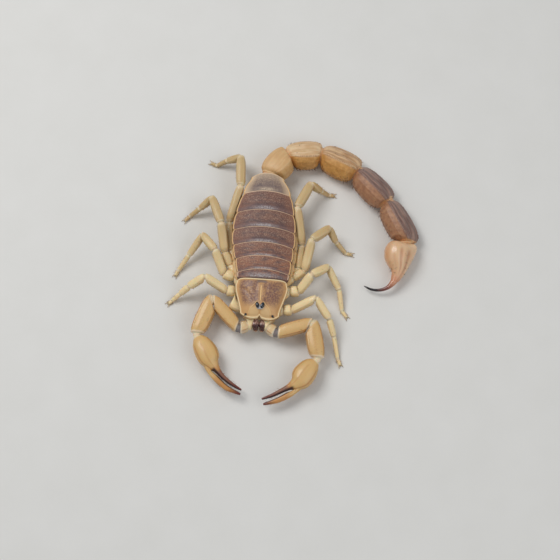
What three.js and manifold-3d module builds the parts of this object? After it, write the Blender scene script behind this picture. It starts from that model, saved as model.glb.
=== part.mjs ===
// Desert scorpion at life size, at rest: pincers drawn in before the head, eight legs
// spread, the tail curled round to the animal's left and laid on the ground.
// Millimetres, +Z up, the head towards -Y and the animal's left towards +X.
// The pieces are placed from the middle of the rear edge of the head shield, at floor level,
// and the whole is moved at the end so that the origin is the middle of its box.

import * as THREE from 'three';
import { mergeVertices } from 'three/addons/utils/BufferGeometryUtils.js';
import Module from 'manifold-3d';

const wasm = await Module();
wasm.setup();

// ---------------------------------------------------------------- driving dimensions

const FLOOR = 0;
const GAP = 0.3; // clear space left at every joint and seam
const BELLY = 1.4; // height of the underside above the floor

const CARAPACE_BOTTOM = 4.4;
const CARAPACE_LENGTH = 8.3;
const FRONT_NOTCH = { depth: 0.75, width: 0.13 };
const FRONT_CORNER = 1.1; // how far the outer front corners lie behind the lobes
const REAR_CORNER = 0.5;
const EYE_MOUND = { y: -5.85, rise: 0.3, width: 0.9, length: 1.2 };

const EYE = { x: 0.47, y: -5.85, sink: 0.12, radii: [0.4, 0.55, 0.42] };
const SIDE_EYE = { x: 2.95, y: -7.35, sink: 0.1, radii: [0.38, 0.42, 0.32] };
const SOCKET_CLEARANCE = 0.16;

const PLATE_EDGES = [0.3, 1.95, 4.9, 7.9, 11.35, 15.3, 19.8, 24.1]; // front edge of each plate
const PLATE_BOW = 0.55; // how far the middle of a plate edge lies behind its ends
const LAST_BOW = 0.9;
const PLATE_LIFT = 0.12; // each rear edge rides this much over the next plate
const REAR_LEAN = 0.5; // sideways drift of the body's middle line at the tail

const TAIL_ROLL = THREE.MathUtils.degToRad(-48); // the tail's upper face leans outwards
const LEG_DEPTH = 1.25; // a leg's depth over its width

// Half width of the head shield, the back plates and the whole body, and the heights of the
// back, as pairs of a distance along the body and the value there.
const CARAPACE_HALF = [[-8.3, 4.0], [-7.2, 4.1], [-6, 4.35], [-4.5, 4.8], [-2.4, 5.45],
  [-1.4, 5.6], [-0.6, 5.35], [0, 4.9]];
const CARAPACE_CREST = [[-8.3, 5.3], [-7.4, 6.15], [-5.8, 6.85], [-3, 7.05], [0, 7.15]];
const PLATE_HALF = [[0, 5.1], [2, 5.25], [4.6, 5.75], [7, 6.2], [9.6, 6.45], [11.6, 6.25],
  [13.9, 6], [16.2, 5.55], [18.6, 5.25], [19.8, 5], [21, 4.6], [22.3, 3.8], [24.1, 2.8]];
const PLATE_CREST = [[0, 7.1], [4.9, 7.35], [11, 7.45], [15, 7.3], [19.8, 6.7], [24.1, 5.7]];
const PLATE_EDGE_TOP = [[0, 5.5], [18, 5.45], [24.1, 4.8]];
const PLATE_BOTTOM = [[0, 5], [18, 4.9], [24.1, 4.1]];
const BODY_HALF = [[0.3, 5.5], [2, 5.9], [4.6, 6.45], [7, 6.6], [9.6, 6.7], [13.9, 6.3],
  [16.2, 5.85], [18.6, 5.45], [21, 4.6], [22.5, 3.75], [24.1, 2.8]];
const BODY_STATIONS = [0.3, 1.2, 3, 5.2, 7.3, 7.7, 9, 11, 13.5, 16, 18.4, 20.4, 22, 23.3, 24.1];
const COXA_HALF = [[-7.7, 2.9], [-7, 3.5], [-5.4, 4.15], [-2, 4.75], [1, 5], [4, 5.15],
  [6, 5], [7.1, 4.4]];
const COXA_ROWS = [-7.7, -7, -6, -4.6, -3.2, -1.8, -0.6, 0, 1.6, 3.2, 4.8, 6, 7.1];

// Joints of each leg from the hip to the tips of the claws. The walking legs are numbered
// from the head back.
const LEG_JOINTS = {
  leg_1_left: [[4.8, -5.4, 3], [6.7, -5.3, 3.1], [11.6, -3.2, 5.4], [14.6, -6.8, 3.4],
    [15.9, -10.1, 1.6], [17, -14.6, 0.42], [17.9, -16.5, 0.2]],
  leg_1_right: [[-5.5, -1.9, 3], [-7.5, -2, 3.2], [-12.1, 0, 5.5], [-15.4, -1.7, 3.4],
    [-17.3, -2.9, 1.7], [-19, -4.2, 0.42], [-20.1, -5.2, 0.2]],
  leg_2_left: [[5.9, -1.2, 3.1], [7.9, -1.1, 3.2], [10.4, 2.1, 5.4], [13.7, 4.3, 4],
    [16.4, 0.3, 1.7], [17.3, -4, 0.42], [18.9, -5.9, 0.2]],
  leg_2_right: [[-5.9, 1.2, 3.1], [-8.3, 1.7, 3.2], [-10.5, 6.2, 5.4], [-13.4, 9.5, 4.4],
    [-16.2, 5.8, 1.9], [-18.3, 2.6, 0.42], [-19.1, 1, 0.2]],
  leg_3_left: [[6.3, 1.8, 3], [8.7, 3.5, 3.2], [10, 9.9, 5.4], [13.4, 12.9, 4.4],
    [15.1, 10.8, 2.2], [17.4, 9, 0.42], [19.3, 8.8, 0.2]],
  leg_3_right: [[-7.1, 3.7, 2.9], [-8.5, 6.5, 3.4], [-9.7, 12.4, 5.4], [-12.1, 18, 4.6],
    [-14.7, 16.5, 2.2], [-16.9, 15.2, 0.42], [-18.3, 13.7, 0.2]],
  leg_4_left: [[7.4, 4.1, 2.8], [7.9, 9.2, 3.2], [6.4, 17.3, 4.7], [8.9, 22.7, 4.4],
    [11.2, 22.3, 2.2], [13, 22.1, 0.42], [14.6, 22.2, 0.2]],
  leg_4_right: [[-7.3, 7.2, 2.6], [-8.1, 13.4, 3.2], [-6.2, 21.3, 4.9], [-6.7, 27.8, 4.6],
    [-9.6, 28, 2.2], [-12, 27.4, 0.42], [-13.9, 28.2, 0.2]],
};

// Widths of the parts of each pair of legs, from the hip out.
const LEG_WIDTHS = {
  1: { trochanter: 2.1, femur: 1.7, patella: 1.6, tibia: 1.35, basitarsus: 0.95, telotarsus: 0.8 },
  2: { trochanter: 2.1, femur: 1.8, patella: 1.75, tibia: 1.5, basitarsus: 1, telotarsus: 0.8 },
  3: { trochanter: 1.8, femur: 1.85, patella: 1.85, tibia: 1.5, basitarsus: 1, telotarsus: 0.8 },
  4: { trochanter: 1.5, femur: 1.8, patella: 2, tibia: 1.6, basitarsus: 1, telotarsus: 0.8 },
};

// Joints of each pincer arm from the trunk to the wrist and on into the hand, then the middle
// lines of the hand with its fixed finger and of the movable finger.
const ARM_JOINTS = {
  left: [[1.9, -9.4, 3], [3.7, -10.5, 3.1], [11, -8.2, 3.5], [12.7, -15.5, 3.1],
    [11.2, -19.1, 3]],
  right: [[-2.3, -9.3, 3], [-4.2, -10, 3.1], [-10.2, -4.4, 3.5], [-12.9, -11.9, 3.1],
    [-11.6, -15.8, 3]],
};
const ARM_WIDTHS = { trochanter: 2.5, femur: 2.85, patella: 3.75 };
const HAND_LINE = {
  left: [[12.45, -16.15, 3.1], [11.5, -17.2, 3.05], [10.45, -18.6, 3], [9.5, -20.15, 2.9],
    [8.5, -21.2, 2.8], [7.2, -21.95, 2.75], [5.6, -22.9, 2.7], [3.8, -23.9, 2.5],
    [1.7, -24.8, 2.4]],
  right: [[-12.8, -12.5, 3.1], [-11.95, -13.7, 3.05], [-10.85, -15.25, 3], [-9.95, -16.8, 2.9],
    [-9.2, -18, 2.8], [-8.2, -19.1, 2.75], [-6.9, -20.5, 2.7], [-5, -21.9, 2.5],
    [-2.65, -23.2, 2.4]],
};
const FINGER_LINE = {
  left: [[8.8, -22.95, 2.75], [7.5, -23.8, 2.7], [5.5, -24.85, 2.6], [3.6, -25.65, 2.5],
    [2.1, -25.9, 2.4]],
  right: [[-9.9, -19.95, 2.75], [-8.65, -21.1, 2.7], [-6.85, -22.5, 2.6], [-4.8, -23.65, 2.5],
    [-2.8, -24.1, 2.4]],
};

// Joints of the tail. The first point lies inside the trunk and the last inside the bulb, and
// only turn the end rings.
const TAIL_JOINTS = [[-0.5, 20, 3.8], [-0.1, 24.75, 3.7], [3.5, 29.6, 3.2], [10.7, 30.5, 2.75],
  [18.7, 27, 2.7], [25.5, 20.4, 2.65], [30.5, 11.7, 2.6], [29.2, 9.4, 2.7]];
const TAIL_WIDTHS = [5.3, 5.4, 6.2, 5.9, 5.7];
const TAIL_HEIGHTS = [4.7, 5.2, 5.8, 5.4, 5.2];
const VESICLE_LINE = [[29.2, 11.2, 2.7], [28.8, 9.8, 2.7], [28.6, 7.6, 2.6], [28.7, 5.2, 2.4],
  [28.1, 3.2, 2.2]];
const STING_LINE = [[27.8, 2.75, 2.1], [26.8, 1.6, 1.9], [25, 0.9, 1.6], [23.2, 1, 1.4],
  [21.6, 1.7, 1.3]];

// How a part swells along its length: pairs of a share of the length and of the full size.
const TROCHANTER_SWELL = [[0, 0.8], [0.35, 1], [0.8, 0.92], [1, 0.74]];
const LEG_SWELL = [[0, 0.74], [0.14, 0.95], [0.45, 1], [0.84, 0.98], [1, 0.76]];
const SHIN_SWELL = [[0, 0.8], [0.15, 1], [0.6, 0.95], [1, 0.72]];
const FOOT_SWELL = [[0, 0.9], [0.5, 0.95], [1, 0.8]];
const CLAW_SWELL = [[0, 0.9], [0.5, 0.95], [1, 0.6]];
const ARM_SWELL = [[0, 0.68], [0.12, 0.9], [0.4, 1], [0.8, 1], [0.94, 0.9], [1, 0.68]];
const FOREARM_SWELL = [[0, 0.66], [0.1, 0.88], [0.35, 0.98], [0.65, 1], [0.88, 0.84], [1, 0.58]];
const TAIL_SWELL = [[0, 0.66], [0.07, 0.86], [0.2, 0.97], [0.5, 1], [0.8, 1], [0.93, 0.92],
  [1, 0.74]];
const HAND_SWELL = [[0, 0.42, 0.46], [0.09, 0.82, 0.82], [0.24, 1, 1], [0.37, 0.87, 0.95],
  [0.47, 0.55, 0.72], [0.56, 0.33, 0.48], [0.68, 0.25, 0.36], [0.84, 0.2, 0.29],
  [1, 0.11, 0.16]];
const HAND_WIDTH = 4.3;
const HAND_HEIGHT = 3.3;
const FINGER_SWELL = [[0, 0.8, 0.85], [0.25, 1, 1], [0.6, 0.85, 0.85], [1, 0.42, 0.42]];
const FINGER_WIDTH = 1.25;
const VESICLE_SWELL = [[0, 0.5, 0.5], [0.06, 0.8, 0.78], [0.16, 0.97, 0.95], [0.32, 1, 1],
  [0.5, 0.87, 0.9], [0.68, 0.62, 0.68], [0.84, 0.43, 0.48], [1, 0.32, 0.35]];
const VESICLE_WIDTH = 5.9;
const VESICLE_HEIGHT = 5;
const STING_SWELL = [[0, 1, 1], [0.25, 0.8, 0.8], [0.5, 0.6, 0.6], [0.75, 0.46, 0.46],
  [1, 0.3, 0.3]];
const STING_WIDTH = 1.5;
const JAW_SWELL = [[0, 0.8, 0.8], [0.3, 1, 1], [0.6, 0.9, 0.9], [1, 0.5, 0.5]];
const COMB_SWELL = [[0, 0.7, 1], [0.3, 1, 1], [0.75, 0.9, 1], [1, 0.45, 0.9]];

// ---------------------------------------------------------------- materials

const COLOURS = {
  shield: ['#b18a60', 0.42],
  plates: ['#6f5046', 0.38],
  flank: ['#d2b077', 0.5],
  legs: ['#c8b487', 0.45],
  arms: ['#cfaa70', 0.4],
  tail: ['#c49a63', 0.38],
  tailEnd: ['#84695c', 0.4],
  sting: ['#3b211d', 0.25],
  jaws: ['#4a2a24', 0.35],
  eyes: ['#0b0b0e', 0.08],
};

function material(name) {
  const [color, roughness] = COLOURS[name];
  return new THREE.MeshStandardMaterial({ name, color, roughness, metalness: 0 });
}

// ---------------------------------------------------------------- helpers

const UP = new THREE.Vector3(0, 0, 1);
const scorpion = new THREE.Group();

function add(name, geometry, finish) {
  const mesh = new THREE.Mesh(geometry, material(finish));
  mesh.name = name;
  scorpion.add(mesh);
}

// Value at a place in a list of [place, value] pairs, in straight lines between them.
function along(pairs, place) {
  const next = pairs.findIndex(([at]) => at >= place);
  if (next === 0) {
    return pairs[0][1];
  }
  if (next < 0) {
    return pairs.at(-1)[1];
  }
  const [a, low] = pairs[next - 1];
  const [b, high] = pairs[next];
  return low + (high - low) * (place - a) / (b - a);
}

function vector([x, y, z]) {
  return new THREE.Vector3(x, y, z);
}

// Round section squared off by its power: 1 is an ellipse, less is boxier.
function rounded(angle, power) {
  const round = (value) => Math.sign(value) * Math.abs(value) ** power;
  return [round(Math.cos(angle)), round(Math.sin(angle))];
}

// Keeled section of a tail ring: flat faces between ridges, hollow on the upper face.
function keeled(angle) {
  const [across, high] = rounded(angle, 0.8);
  const hollow = 0.12 * Math.max(0, Math.sin(angle)) ** 6;
  return [across, high - hollow];
}

// Closed solid through a row of rings. A ring has a centre, a direction of travel, a half
// width, a half height and a roll about the direction of travel. Nothing goes below the
// floor, so what rests on it is flat there.
function loft(sides, rings, section = (angle) => rounded(angle, 0.9)) {
  const steps = rings.length - 1;
  const geometry = new THREE.CylinderGeometry(1, 1, 1, sides, steps);
  const position = geometry.attributes.position;
  for (let i = 0; i < position.count; i += 1) {
    const ring = rings[Math.round((position.getY(i) + 0.5) * steps)];
    const reach = Math.hypot(position.getX(i), position.getZ(i));
    const angle = Math.atan2(position.getZ(i), position.getX(i));
    const side = new THREE.Vector3().crossVectors(ring.travel, UP).normalize();
    side.applyAxisAngle(ring.travel, ring.roll ?? 0);
    const rise = new THREE.Vector3().crossVectors(side, ring.travel);
    const [across, high] = section(angle);
    const point = ring.centre.clone();
    point.addScaledVector(side, across * reach * ring.half);
    point.addScaledVector(rise, high * reach * ring.height);
    position.setXYZ(i, point.x, point.y, Math.max(point.z, FLOOR));
  }
  return geometry;
}

// Rings of a piece that spans joints first to last of a limb, each stretch with its own
// size and swell. The end rings are mitred to the neighbouring pieces.
function limbRings(joints, first, stretches, roll = 0) {
  const points = joints.map(vector);
  const headings = points.slice(1).map((point, i) => point.clone().sub(points[i]).normalize());
  const mitre = (i) => {
    const before = headings[Math.max(i - 1, 0)];
    const after = headings[Math.min(i, headings.length - 1)];
    return before.clone().add(after).normalize();
  };
  const last = first + stretches.length;
  const blend = 0.28;
  const rings = [];
  stretches.forEach(({ width, height, swell }, k) => {
    const i = first + k;
    const start = points[i].clone();
    const end = points[i + 1].clone();
    if (i === first) {
      start.addScaledVector(mitre(i), GAP / 2);
    }
    if (i + 1 === last) {
      end.addScaledVector(mitre(i + 1), -GAP / 2);
    }
    swell.forEach(([share, size], n) => {
      if (n === 0 && i > first) {
        return;
      }
      const travel = headings[i].clone();
      travel.lerp(mitre(i), Math.max(0, 1 - share / blend));
      travel.lerp(mitre(i + 1), Math.max(0, 1 - (1 - share) / blend));
      rings.push({
        centre: start.clone().lerp(end, share),
        travel: travel.normalize(),
        half: width * size / 2,
        height: height * size / 2,
        roll,
      });
    });
  });
  return rings;
}

// Rings along a smooth curve, from triples of share, width factor and height factor.
function curveRings(points, swell, width, height, roll = 0) {
  const curve = new THREE.CatmullRomCurve3(points.map(vector));
  return swell.map(([share, wide, high]) => ({
    centre: curve.getPointAt(share),
    travel: curve.getTangentAt(share),
    half: width * wide / 2,
    height: height * high / 2,
    roll,
  }));
}

// Box whose corners are moved by a function of three shares: across -1 to 1, along 0 to 1
// from front to rear, and up 0 or 1.
function shaped(columns, rows, place) {
  const geometry = new THREE.BoxGeometry(2, 1, 1, columns, rows, 1);
  const position = geometry.attributes.position;
  for (let i = 0; i < position.count; i += 1) {
    const row = Math.round((position.getY(i) + 0.5) * rows);
    const [x, y, z] = place(position.getX(i), row / rows, position.getZ(i) + 0.5);
    position.setXYZ(i, x, y, z);
  }
  return geometry;
}

function toSolid(geometry) {
  const bare = geometry.clone();
  bare.deleteAttribute('normal');
  bare.deleteAttribute('uv');
  const merged = mergeVertices(bare);
  return new wasm.Manifold(new wasm.Mesh({
    numProp: 3,
    vertProperties: new Float32Array(merged.attributes.position.array),
    triVerts: new Uint32Array(merged.index.array),
  }));
}

function toGeometry(solid) {
  const { vertProperties, triVerts } = solid.getMesh();
  const geometry = new THREE.BufferGeometry();
  geometry.setAttribute('position', new THREE.BufferAttribute(vertProperties, 3));
  geometry.setIndex(new THREE.BufferAttribute(triVerts, 1));
  return geometry;
}

function middle(y) {
  return -REAR_LEAN * Math.max(0, y / PLATE_EDGES.at(-1)) ** 2;
}

// ---------------------------------------------------------------- head shield and eyes

function carapaceTop(x, y) {
  const share = Math.min(1, Math.abs(x) / along(CARAPACE_HALF, y));
  const edge = CARAPACE_BOTTOM + 0.6;
  const crest = along(CARAPACE_CREST, y);
  const mound = EYE_MOUND.rise
    * Math.exp(-((x / EYE_MOUND.width) ** 2) - ((y - EYE_MOUND.y) / EYE_MOUND.length) ** 2);
  return edge + (crest - edge) * (1 - share ** 2.4) + mound;
}

function carapace() {
  return shaped(14, 12, (across, share, up) => {
    const notch = FRONT_NOTCH.depth * Math.exp(-((across / FRONT_NOTCH.width) ** 2));
    const front = -CARAPACE_LENGTH + notch + FRONT_CORNER * across ** 4;
    const rear = -REAR_CORNER * across ** 6;
    const y = front + (rear - front) * share;
    const x = across * along(CARAPACE_HALF, y);
    return [x, y, up > 0.5 ? carapaceTop(x, y) : CARAPACE_BOTTOM];
  });
}

function eyeball(side, { x, y, sink, radii }, clearance = 0) {
  const geometry = new THREE.SphereGeometry(1, 8, 6);
  geometry.scale(...radii.map((radius) => radius + clearance));
  geometry.translate(side * x, y, carapaceTop(side * x, y) - sink);
  return geometry;
}

function addHead() {
  let shield = toSolid(carapace());
  for (const [name, side] of [['left', 1], ['right', -1]]) {
    shield = shield.subtract(toSolid(eyeball(side, EYE, SOCKET_CLEARANCE)));
    shield = shield.subtract(toSolid(eyeball(side, SIDE_EYE, SOCKET_CLEARANCE)));
    add(`eye_median_${name}`, eyeball(side, EYE), 'eyes');
    add(`eye_side_${name}`, eyeball(side, SIDE_EYE), 'eyes');
    const line = [[side * 0.9, -8.3, 3.5], [side * 0.78, -9.4, 3.55], [side * 0.6, -10.6, 3.3]];
    add(`chelicera_${name}`, loft(10, curveRings(line, JAW_SWELL, 1.15, 1.4)), 'jaws');
  }
  add('carapace', toGeometry(shield), 'shield');
}

// ---------------------------------------------------------------- trunk

function plateTop(across, y) {
  const edge = along(PLATE_EDGE_TOP, y);
  const crest = along(PLATE_CREST, y);
  return edge + (crest - edge) * (1 - Math.abs(across) ** 2.3);
}

function plateEdge(index, across) {
  const bow = index === 0 ? 0 : PLATE_BOW;
  const curve = index === PLATE_EDGES.length - 1 ? LAST_BOW : bow;
  return PLATE_EDGES[index] - curve * across ** 2;
}

function addPlates() {
  for (let i = 0; i < PLATE_EDGES.length - 1; i += 1) {
    const plate = shaped(10, 2, (across, share, up) => {
      const front = plateEdge(i, across) + GAP / 2;
      const rear = plateEdge(i + 1, across) - GAP / 2;
      const y = front + (rear - front) * share;
      const x = middle(y) + across * along(PLATE_HALF, y);
      const top = plateTop(across, y) + PLATE_LIFT * share;
      return [x, y, up > 0.5 ? top : along(PLATE_BOTTOM, y)];
    });
    add(`tergite_${i + 1}`, plate, 'plates');
  }
}

// The soft flanks and belly plates below the back plates, in one solid. Its front part is
// only a thin tongue, because the bases of the legs lie under it.
function addTrunk() {
  const tongueEnd = BODY_STATIONS[4];
  const rings = BODY_STATIONS.map((y) => {
    const tongue = y <= tongueEnd;
    const rise = Math.max(0, (y - 18) / 6) * 0.6;
    return {
      y,
      half: along(BODY_HALF, y),
      top: along(PLATE_BOTTOM, y) - GAP,
      widest: tongue ? 4.1 : 4 - rise,
      bottom: tongue ? BELLY + 2 : BELLY + rise,
    };
  });
  const geometry = new THREE.CylinderGeometry(1, 1, 1, 20, rings.length - 1);
  const position = geometry.attributes.position;
  for (let i = 0; i < position.count; i += 1) {
    const ring = rings[Math.round((position.getY(i) + 0.5) * (rings.length - 1))];
    const reach = Math.hypot(position.getX(i), position.getZ(i));
    const [across, high] = rounded(Math.atan2(position.getZ(i), position.getX(i)), 0.75);
    const span = high > 0 ? ring.top - ring.widest : ring.widest - ring.bottom;
    const x = middle(ring.y) + across * reach * ring.half;
    position.setXYZ(i, x, ring.y, ring.widest + high * reach * span);
  }
  add('abdomen', geometry, 'flank');
}

function addUnderside() {
  const coxae = shaped(6, COXA_ROWS.length - 1, (across, share, up) => {
    const y = COXA_ROWS[Math.round(share * (COXA_ROWS.length - 1))];
    const top = y < -0.3 ? CARAPACE_BOTTOM - GAP : BELLY + 1.7;
    const bottom = BELLY + 0.5 * across ** 4;
    const taper = up > 0.5 ? 1 : 0.9;
    return [across * taper * along(COXA_HALF, y), y, up > 0.5 ? top : bottom];
  });
  add('coxosternum', coxae, 'legs');
  for (const [name, side] of [['left', 1], ['right', -1]]) {
    const line = [[side * 1.1, 7, 0.8], [side * 3, 8.4, 0.8], [side * 5, 11.2, 0.8]];
    add(`pectine_${name}`, loft(6, curveRings(line, COMB_SWELL, 1.6, 0.55)), 'flank');
  }
}

// ---------------------------------------------------------------- legs

function addLegs() {
  for (const [name, joints] of Object.entries(LEG_JOINTS)) {
    const widths = LEG_WIDTHS[name[4]];
    const stretch = (part, swell, depth) => (
      { width: widths[part], height: widths[part] * depth, swell }
    );
    const thigh = [
      stretch('trochanter', TROCHANTER_SWELL, 0.95),
      stretch('femur', LEG_SWELL, LEG_DEPTH),
    ];
    const shank = [stretch('patella', LEG_SWELL, LEG_DEPTH)];
    const foot = [
      stretch('tibia', SHIN_SWELL, 1.1),
      stretch('basitarsus', FOOT_SWELL, 1.05),
      stretch('telotarsus', CLAW_SWELL, 1),
    ];
    add(`${name}_thigh`, loft(9, limbRings(joints, 0, thigh)), 'legs');
    add(`${name}_shank`, loft(9, limbRings(joints, 2, shank)), 'legs');
    add(`${name}_foot`, loft(8, limbRings(joints, 3, foot)), 'legs');
  }
}

// ---------------------------------------------------------------- pincer arms

function addArms() {
  const section = (angle) => rounded(angle, 0.8);
  for (const side of ['left', 'right']) {
    const joints = ARM_JOINTS[side];
    const parts = [
      ['trochanter', TROCHANTER_SWELL, 0.95],
      ['femur', ARM_SWELL, 0.9],
      ['patella', FOREARM_SWELL, 0.85],
    ];
    parts.forEach(([part, swell, depth], i) => {
      const width = ARM_WIDTHS[part];
      const rings = limbRings(joints, i, [{ width, height: width * depth, swell }]);
      add(`pedipalp_${side}_${part}`, loft(12, rings, section), 'arms');
    });
    const hand = curveRings(HAND_LINE[side], HAND_SWELL, HAND_WIDTH, HAND_HEIGHT);
    add(`pedipalp_${side}_hand`, loft(12, hand), 'arms');
    const finger = curveRings(FINGER_LINE[side], FINGER_SWELL, FINGER_WIDTH, FINGER_WIDTH);
    add(`pedipalp_${side}_finger`, loft(8, finger), 'arms');
  }
}

// ---------------------------------------------------------------- tail

function addTail() {
  TAIL_WIDTHS.forEach((width, i) => {
    const stretch = { width, height: TAIL_HEIGHTS[i], swell: TAIL_SWELL };
    const rings = limbRings(TAIL_JOINTS, i + 1, [stretch], i === 0 ? TAIL_ROLL / 2 : TAIL_ROLL);
    add(`tail_${i + 1}`, loft(16, rings, keeled), i < 3 ? 'tail' : 'tailEnd');
  });
  const bulb = curveRings(VESICLE_LINE, VESICLE_SWELL, VESICLE_WIDTH, VESICLE_HEIGHT, TAIL_ROLL);
  add('telson', loft(14, bulb), 'tail');
  const sting = curveRings(STING_LINE, STING_SWELL, STING_WIDTH, STING_WIDTH);
  add('sting', loft(10, sting), 'sting');
}

// ---------------------------------------------------------------- assembly

addHead();
addPlates();
addTrunk();
addUnderside();
addLegs();
addArms();
addTail();

const box = new THREE.Box3().setFromObject(scorpion);
const centre = box.getCenter(new THREE.Vector3());
scorpion.position.set(-centre.x, -centre.y, -box.min.z);

export default scorpion;
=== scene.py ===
# %% [markdown]
# # A desert scorpion at life size
# A scorpion wears its skeleton outside: thin horn plates and tubes, with soft skin between
# them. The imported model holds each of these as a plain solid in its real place. Here every
# solid is covered by the piece it stands for, with its ridges, grain, teeth and bristles.
# Lengths are in metres, and the measures that start each part are in mm, in degrees or shares
# of another size. Their places count from the middle of the shield's rear edge. The head points
# to -Y and the animal's left side is +X.

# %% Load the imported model
import math
import random
from bisect import bisect
from collections import namedtuple
from functools import cache, partial

import bmesh
import bpy
import numpy as np
from mathutils import Matrix, Vector, noise


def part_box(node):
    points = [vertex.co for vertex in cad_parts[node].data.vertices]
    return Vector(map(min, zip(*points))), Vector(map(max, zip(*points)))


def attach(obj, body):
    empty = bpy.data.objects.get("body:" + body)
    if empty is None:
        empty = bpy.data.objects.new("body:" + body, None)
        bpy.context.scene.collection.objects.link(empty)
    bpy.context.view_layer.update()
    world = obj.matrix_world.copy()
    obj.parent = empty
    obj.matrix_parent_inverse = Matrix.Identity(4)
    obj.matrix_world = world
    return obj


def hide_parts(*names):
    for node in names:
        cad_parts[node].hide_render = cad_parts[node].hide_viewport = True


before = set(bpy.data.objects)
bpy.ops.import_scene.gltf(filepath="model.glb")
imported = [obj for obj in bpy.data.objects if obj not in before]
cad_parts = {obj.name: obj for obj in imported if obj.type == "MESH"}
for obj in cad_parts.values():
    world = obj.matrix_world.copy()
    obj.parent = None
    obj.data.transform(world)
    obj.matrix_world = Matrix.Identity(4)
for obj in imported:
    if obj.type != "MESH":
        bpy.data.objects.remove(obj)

MM = 0.001
UP = Vector((0, 0, 1))
SIDES = {"left": 1, "right": -1}  # which way along X each side of the animal lies
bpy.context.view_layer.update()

# %% [markdown]
# ## Camera, floor and light
# The model is seen from high above its head, as it would be when it lies in an open tray. The
# camera could be aimed by eye, but here it is worked out: the middle of the shield's rear edge
# is put at a chosen place in the picture, at a chosen distance, so that every piece made later
# falls where it should.

# %% Camera
VIEW_HEIGHT = math.radians(72)
VIEW_TURN = math.radians(4)
VIEW_FIELD = math.radians(20)
VIEW_DISTANCE = 333.5 * MM
PICTURE_SIDE = 560
SHIELD_PIXEL = (262.0, 278.5)
SHIELD_TOP = 7 * MM
SENSOR = 36


def aim_camera():
    """Creates the camera and returns the point of the shield that it is aimed by."""
    low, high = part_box("carapace")
    anchor = Vector(((low.x + high.x) / 2, high.y, SHIELD_TOP))
    ahead = Vector((-math.sin(VIEW_TURN), math.cos(VIEW_TURN), 0))
    right = Vector((math.cos(VIEW_TURN), math.sin(VIEW_TURN), 0))
    above = ahead * math.sin(VIEW_HEIGHT) + UP * math.cos(VIEW_HEIGHT)
    forward = ahead * math.cos(VIEW_HEIGHT) - UP * math.sin(VIEW_HEIGHT)
    focal = PICTURE_SIDE / 2 / math.tan(VIEW_FIELD / 2)
    middle = PICTURE_SIDE / 2
    ray = forward + right * (SHIELD_PIXEL[0] - middle) / focal
    ray += above * (middle - SHIELD_PIXEL[1]) / focal
    data = bpy.data.cameras.new("tray_camera")
    data.sensor_width = SENSOR
    data.lens = SENSOR / 2 / math.tan(VIEW_FIELD / 2)
    data.clip_start = 10 * MM
    camera = bpy.data.objects.new("tray_camera", data)
    turned = Matrix((right, above, -forward)).transposed().to_4x4()
    camera.matrix_world = Matrix.Translation(anchor - ray * VIEW_DISTANCE) @ turned
    bpy.context.scene.collection.objects.link(camera)
    bpy.context.scene.camera = camera
    print("camera at", [round(x / MM, 1) for x in camera.location], "mm")
    return anchor


anchor = aim_camera()

# %% Soft light from two large lamps and a pale surrounding
LAMPS = {  # place in mm from the shield, side in mm, power in watts
    "key_lamp": ((-190, 120, 330), 200, 0.78),
    "fill_lamp": ((240, -120, 260), 280, 0.3),
}
AIR_COLOUR = (0.92, 0.96, 1, 1)
AIR_STRENGTH = 0.34


def add_lamp(name, offset, side, power):
    data = bpy.data.lights.new(name, "AREA")
    data.size = side * MM
    data.energy = power
    lamp = bpy.data.objects.new(name, data)
    lamp.location = anchor + Vector(offset) * MM
    lamp.rotation_euler = (anchor - lamp.location).to_track_quat("-Z", "Y").to_euler()
    bpy.context.scene.collection.objects.link(lamp)


for lamp_name, (offset, side, power) in LAMPS.items():
    add_lamp(lamp_name, offset, side, power)
air = bpy.data.worlds.new("studio_air")
air.use_nodes = True
air.node_tree.nodes["Background"].inputs["Color"].default_value = AIR_COLOUR
air.node_tree.nodes["Background"].inputs["Strength"].default_value = AIR_STRENGTH
bpy.context.scene.world = air
bpy.context.scene.view_settings.view_transform = "Standard"

# %% [markdown]
# ## Writing finishes as arithmetic
# A finish is a small network of nodes. Wired by hand it is long and hard to read, so one class
# stands for a value on a wire and lets plain arithmetic add the nodes, and another holds the
# network with the few patterns that horn and skin are made from: clouds, cells and soft steps.

# %% A value on its way through a finish
class Wire:
    """A number, colour or vector in a finish. Arithmetic on it adds Math nodes."""

    def __init__(self, finish, socket):
        self.finish = finish
        self.socket = socket

    def maths(self, operation, first, second):
        return self.finish.node("ShaderNodeMath", {"operation": operation}, {0: first, 1: second})

    def __add__(self, other):
        return self.maths("ADD", self, other)

    def __sub__(self, other):
        return self.maths("SUBTRACT", self, other)

    def __rsub__(self, other):
        return self.maths("SUBTRACT", other, self)

    def __mul__(self, other):
        return self.maths("MULTIPLY", self, other)

    __radd__ = __add__
    __rmul__ = __mul__


# %% Colours by their screen values
def paint(colour):
    """The light that a colour reflects, from its three screen values of 0 to 255."""
    if isinstance(colour, Wire):
        return colour
    return tuple(((value / 255 + 0.055) / 1.055) ** 2.4 for value in colour) + (1,)


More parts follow.
